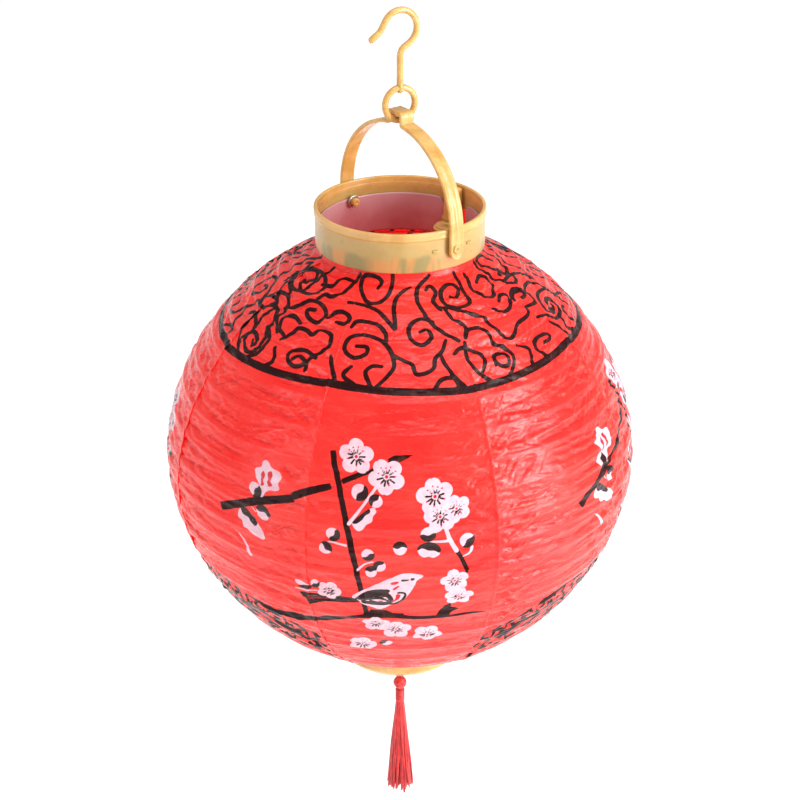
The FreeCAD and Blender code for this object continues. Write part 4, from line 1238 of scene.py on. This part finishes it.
def make_strut(name, sign):
    """A rod with a stepped round collar under the ring and a tapered head inside it."""
    collar_top = RING_LOW - 0.1
    centre = (0.0, sign * (RING_OUTER - 0.4 - COLLAR_RADIUS))
    collar = lathe(rounded([
        (0.02, collar_top - 1.8, 0), (COLLAR_RADIUS, collar_top - 1.8, 0.35),
        (COLLAR_RADIUS, collar_top - 0.9, 0.3),
        (5.3, collar_top - 0.7, 0.2), (5.3, collar_top, 0.3), (0.02, collar_top, 0),
    ], 4), 72, centre)
    # The collar's outer edge is trimmed to stay inside the paper's neck.
    reach = np.hypot(collar[0][:, 0], collar[0][:, 1])
    collar[0][:, :2] *= np.minimum(1, 33.0 / reach)[:, None]
    rod = lathe(rounded([
        (0.02, PLATE_TOP - 0.4, 0), (ROD_RADIUS, PLATE_TOP - 0.4, 0), (ROD_RADIUS, collar_top - 1.6, 0),
        (0.02, collar_top - 1.6, 0),
    ]), 24, (0.0, sign * ROD_PLACE))
    face = RING_BORE - 0.95
    thick = 2.6
    # The photo shows no strut head above the front rim.
    head_top = STRUT_TOP - (1.9 if name == "front" else 0.0)
    rings = []
    levels = [(collar_top - 0.2, 5.5), (collar_top + 1.6, 5.4), (collar_top + 3.4, 4.7),
              (collar_top + 9, 4.4), (head_top - 0.9, 4.25), (head_top - 0.35, 4.1), (head_top, 3.7)]
    for k, (z, half) in enumerate(levels):
        inset = 0.0 if k < 5 else (0.15 if k == 5 else 0.55)
        section = rounded([(half, face - inset, 0.5), (half, face - thick + inset, 0.5),
                           (-half, face - thick + inset, 0.5), (-half, face - inset, 0.5)], 4)
        rings.append(np.stack([section[:, 0], sign * section[:, 1], np.full(len(section), z)], -1))
    width = len(rings[0])
    faces = grid_faces(len(rings), width, False, True)
    faces.append(tuple(range(width))[::-1])
    faces.append(tuple((len(rings) - 1) * width + k for k in range(width)))
    if sign < 0:
        faces = [ring[::-1] for ring in faces]
    points, faces = join_parts([collar, rod, (np.concatenate(rings), faces)])
    piece = add_mesh("strut_leg_" + name, turned_round(points, BODY_TURN), faces)
    return dress(piece, GOLD_PLASTIC, "lantern", "gold_plastic", "strut_" + name)


def make_cap():
    """A shallow dish with a rounded edge, a shallow moulded ring and a small hole."""
    inner = CAP_RADIUS - CAP_WALL
    piece = add_mesh("bottom_cap_dish", *lathe(rounded([
        (1.3, CAP_LOW, 0.3), (3.6, CAP_LOW, 0.3), (4.2, CAP_LOW + 0.35, 0.3), (18, CAP_LOW + 0.35, 0.4),
        (18.8, CAP_LOW, 0.4), (25.2, CAP_LOW, 2.2), (CAP_RADIUS, CAP_LOW + 3.2, 2.2),
        (CAP_RADIUS, CAP_TOP - 0.05, 0.35), (inner, CAP_TOP - 0.5, 0.3), (inner, CAP_LOW + 3.8, 1.5),
        (24.4, CAP_LOW + 1.2, 1.5), (1.3, CAP_LOW + 1.2, 0.3),
    ]), 200))
    return dress(piece, GOLD_PLASTIC, "lantern", "gold_plastic", "bottom_cap")


make_strut("back", 1)
make_strut("front", -1)
make_cap()
dress_node("base_plate", GOLD_PLASTIC)
for hoop in range(1, RIBS + 1):
    dress_node("rib_hoop_%02d" % hoop, STEEL)


# ------------------------------------------------------------------ tassel

CORD_RADIUS = 0.75
CORD_TOP = -290.33
CORD_KNOT = -308.23
CORD_LOW = -320.63


def make_cord():
    """The tassel's cord: straight down from the cap, through the knot and into the bound neck."""
    curve = bpy.data.curves.new("tassel_cord_line", "CURVE")
    curve.dimensions = "3D"
    curve.bevel_depth = CORD_RADIUS * MM
    curve.bevel_resolution = 5
    curve.use_fill_caps = True
    line = curve.splines.new("NURBS")
    line.points.add(2)
    for point, height in zip(line.points, (CORD_TOP, CORD_KNOT, CORD_LOW)):
        point.co = (0, 0, height * MM, 1)
    line.order_u = 3
    line.use_endpoint_u = True
    line.resolution_u = 24
    piece = bpy.data.objects.new("tassel_cord_line", curve)
    bpy.context.scene.collection.objects.link(piece)
    return dress(piece, THREAD, "tassel", "red_silk", "tassel_cord")


def make_knot():
    """A round knot: one cord wound over and over in a ball."""
    middle = (KNOT_TOP + KNOT_LOW) / 2
    t = np.linspace(0, 2 * math.pi, 420, endpoint=False)
    ball = 2.35
    along = t * 7
    swing = np.sin(t * 4) * 0.95
    line = np.stack([ball * np.cos(along) * np.cos(swing), ball * np.sin(along) * np.cos(swing),
                     middle + ball * np.sin(swing)], -1)
    wound = tube(line, 0.72, 8, True)
    core = lathe(rounded([(0.76, middle - 2.7, 0.2), (1.5, middle - 2.5, 0.8), (2.5, middle, 2.0),
                          (1.5, middle + 2.5, 0.8), (0.76, middle + 2.7, 0.2)], 5), 40)
    piece = add_mesh("tassel_round_knot", *join_parts([wound, core]))
    return dress(piece, THREAD, "tassel", "red_silk", "tassel_knot")


def make_binding():
    """Thread wound side by side round the tassel's neck."""
    top = KNOT_LOW - 0.5
    low = BINDING_LOW + 0.35
    turns = 10
    t = np.linspace(0, turns * 2 * math.pi, turns * 36)
    wave = 1.72 + 0.06 * np.sin(t * 0.37)
    line = np.stack([wave * np.cos(t), wave * np.sin(t), top + (low - top) * t / t[-1]], -1)
    piece = add_mesh("tassel_binding_thread", *tube(line, 0.36, 8))
    return dress(piece, THREAD, "tassel", "red_silk", "tassel_binding")


def make_skirt():
    """Loose silky strands that flare from the neck to uneven ends."""
    rng = np.random.default_rng(7)
    parts = []
    count = 190
    top, neck_low, hem = KNOT_LOW - 0.15, BINDING_LOW, SKIRT_LOW
    for k in range(count):
        turn = 2.39996 * k + rng.normal(0, 0.15)
        share = math.sqrt((k + 0.5) / count)
        end_r = 6.0 * share * rng.uniform(0.82, 1.04)
        end_z = hem + rng.uniform(0.0, 3.2) + 2.2 * (1 - share)
        wander = rng.normal(0, 0.45, 3)
        t = np.linspace(0, 1, 12)
        height = neck_low + (end_z - neck_low) * t
        spread = (end_r - 1.45 * share) * (0.55 * t + 0.45 * t ** 1.8)
        flare = 1.45 * share + 0.2 + spread + 0.54 * share * np.sin(np.pi * t)
        angle = turn + 0.25 * wander[0] * t + 0.16 * np.sin(5 * t + wander[1] * 4) * t
        x, y = flare * np.cos(angle), flare * np.sin(angle)
        x = x + 0.35 * wander[1] * np.sin(6 * t + wander[2]) * t
        y = y + 0.35 * wander[2] * np.sin(6 * t + wander[0]) * t
        neck = np.array([(near * math.cos(turn), near * math.sin(turn), level) for near, level in (
            (0.85 + 0.5 * share, top), (0.9 + 0.5 * share, (top + neck_low) / 2))])
        line = np.concatenate([neck, np.stack([x, y, height], -1)])
        thick = np.interp(np.linspace(0, 1, len(line)), [0, 0.3, 0.9, 1], [0.3, 0.36, 0.34, 0.26])
        parts.append(tube(line, thick, 6))
    piece = add_mesh("tassel_skirt_strands", *join_parts(parts))
    return dress(piece, SILK, "tassel", "red_silk", "tassel_skirt")


def make_stopper():
    """The small knot that ends the cord inside the cap."""
    t = np.linspace(0, 2 * math.pi, 140, endpoint=False)
    line = 0.30 * np.stack([np.sin(t) + 2 * np.sin(2 * t), np.cos(t) - 2 * np.cos(2 * t),
                            -np.sin(3 * t) * 1.1], -1)
    line[:, 2] += STOPPER_MID
    piece = add_mesh("tassel_end_knot", *tube(line, 0.40, 8, True))
    return dress(piece, THREAD, "stopper", "red_silk", "tassel_stopper")


cord = make_cord()
on_cord = [make_knot(), make_binding(), make_skirt()]
make_stopper()


# ------------------------------------------------------------------ floor, light and camera

def make_floor():
    """A plain pale floor, well below the hanging lantern."""
    look = Look("pale_floor_look")
    look.set(Base_Color=look.blend(look.noise(3, 2), (0.86, 0.86, 0.86), (0.90, 0.90, 0.90)), Roughness=0.9,
             Specular_IOR_Level=0.1, Emission_Color=(1, 1, 1, 1), Emission_Strength=0.46)
    mesh = bpy.data.meshes.new("floor")
    half, height = 8.0, -0.62
    corners = [(-half, -half), (half, -half), (half, half), (-half, half)]
    mesh.from_pydata([(x, y, height) for x, y in corners], [], [(0, 1, 2, 3)])
    floor = bpy.data.objects.new("floor", mesh)
    floor.data.materials.append(look.material)
    bpy.context.scene.collection.objects.link(floor)


def from_camera(azimuth, elevation, far):
    """A place round the paper's middle: azimuth to the right of the camera, elevation above level."""
    turn = math.radians(VIEW_TURN + azimuth)
    rise = math.radians(elevation)
    way = Vector((math.sin(turn) * math.cos(rise), -math.cos(turn) * math.cos(rise), math.sin(rise)))
    return way * far + Vector((0, 0, MIDDLE * MM))


def add_light(name, azimuth, elevation, far, wide, high, power):
    """A rectangular lamp that faces the paper's middle; sizes in m, power in W."""
    lamp = bpy.data.lights.new(name, "AREA")
    lamp.shape = "RECTANGLE"
    lamp.size, lamp.size_y = wide, high
    lamp.energy = power
    item = bpy.data.objects.new(name, lamp)
    item.location = from_camera(azimuth, elevation, far)
    item.rotation_mode = "QUATERNION"
    item.rotation_quaternion = (item.location - Vector((0, 0, MIDDLE * MM))).to_track_quat("Z", "Y")
    bpy.context.scene.collection.objects.link(item)


def light_scene():
    """Even white surroundings, with a large lamp on the right for the paper's gloss."""
    world = bpy.data.worlds.new("studio")
    world.use_nodes = True
    world.node_tree.nodes["Background"].inputs["Color"].default_value = (1, 1, 1, 1)
    world.node_tree.nodes["Background"].inputs["Strength"].default_value = 0.56
    bpy.context.scene.world = world
    add_light("key_right", 64, 12, 1.5, 0.55, 1.0, 27)
    add_light("key_left", -62, 18, 1.5, 0.3, 0.7, 4.5)
    add_light("top", 25, 74, 1.4, 0.7, 0.7, 6)
    add_light("high_right", 75, 45, 1.5, 0.4, 0.4, 3)
    bpy.context.scene.view_settings.view_transform = "Standard"


def aim_camera():
    """The photo's view, from above and in front of the lantern."""
    lens = bpy.data.cameras.new("camera")
    lens.lens = 93.9
    lens.sensor_width = 36
    item = bpy.data.objects.new("camera", lens)
    item.location = from_camera(0, 27.03, 0.8996)
    item.rotation_mode = "XYZ"
    item.rotation_euler = (math.radians(90 - 25.85), 0, math.radians(VIEW_TURN))
    bpy.context.scene.collection.objects.link(item)
    bpy.context.scene.camera = item


make_floor()
light_scene()
aim_camera()
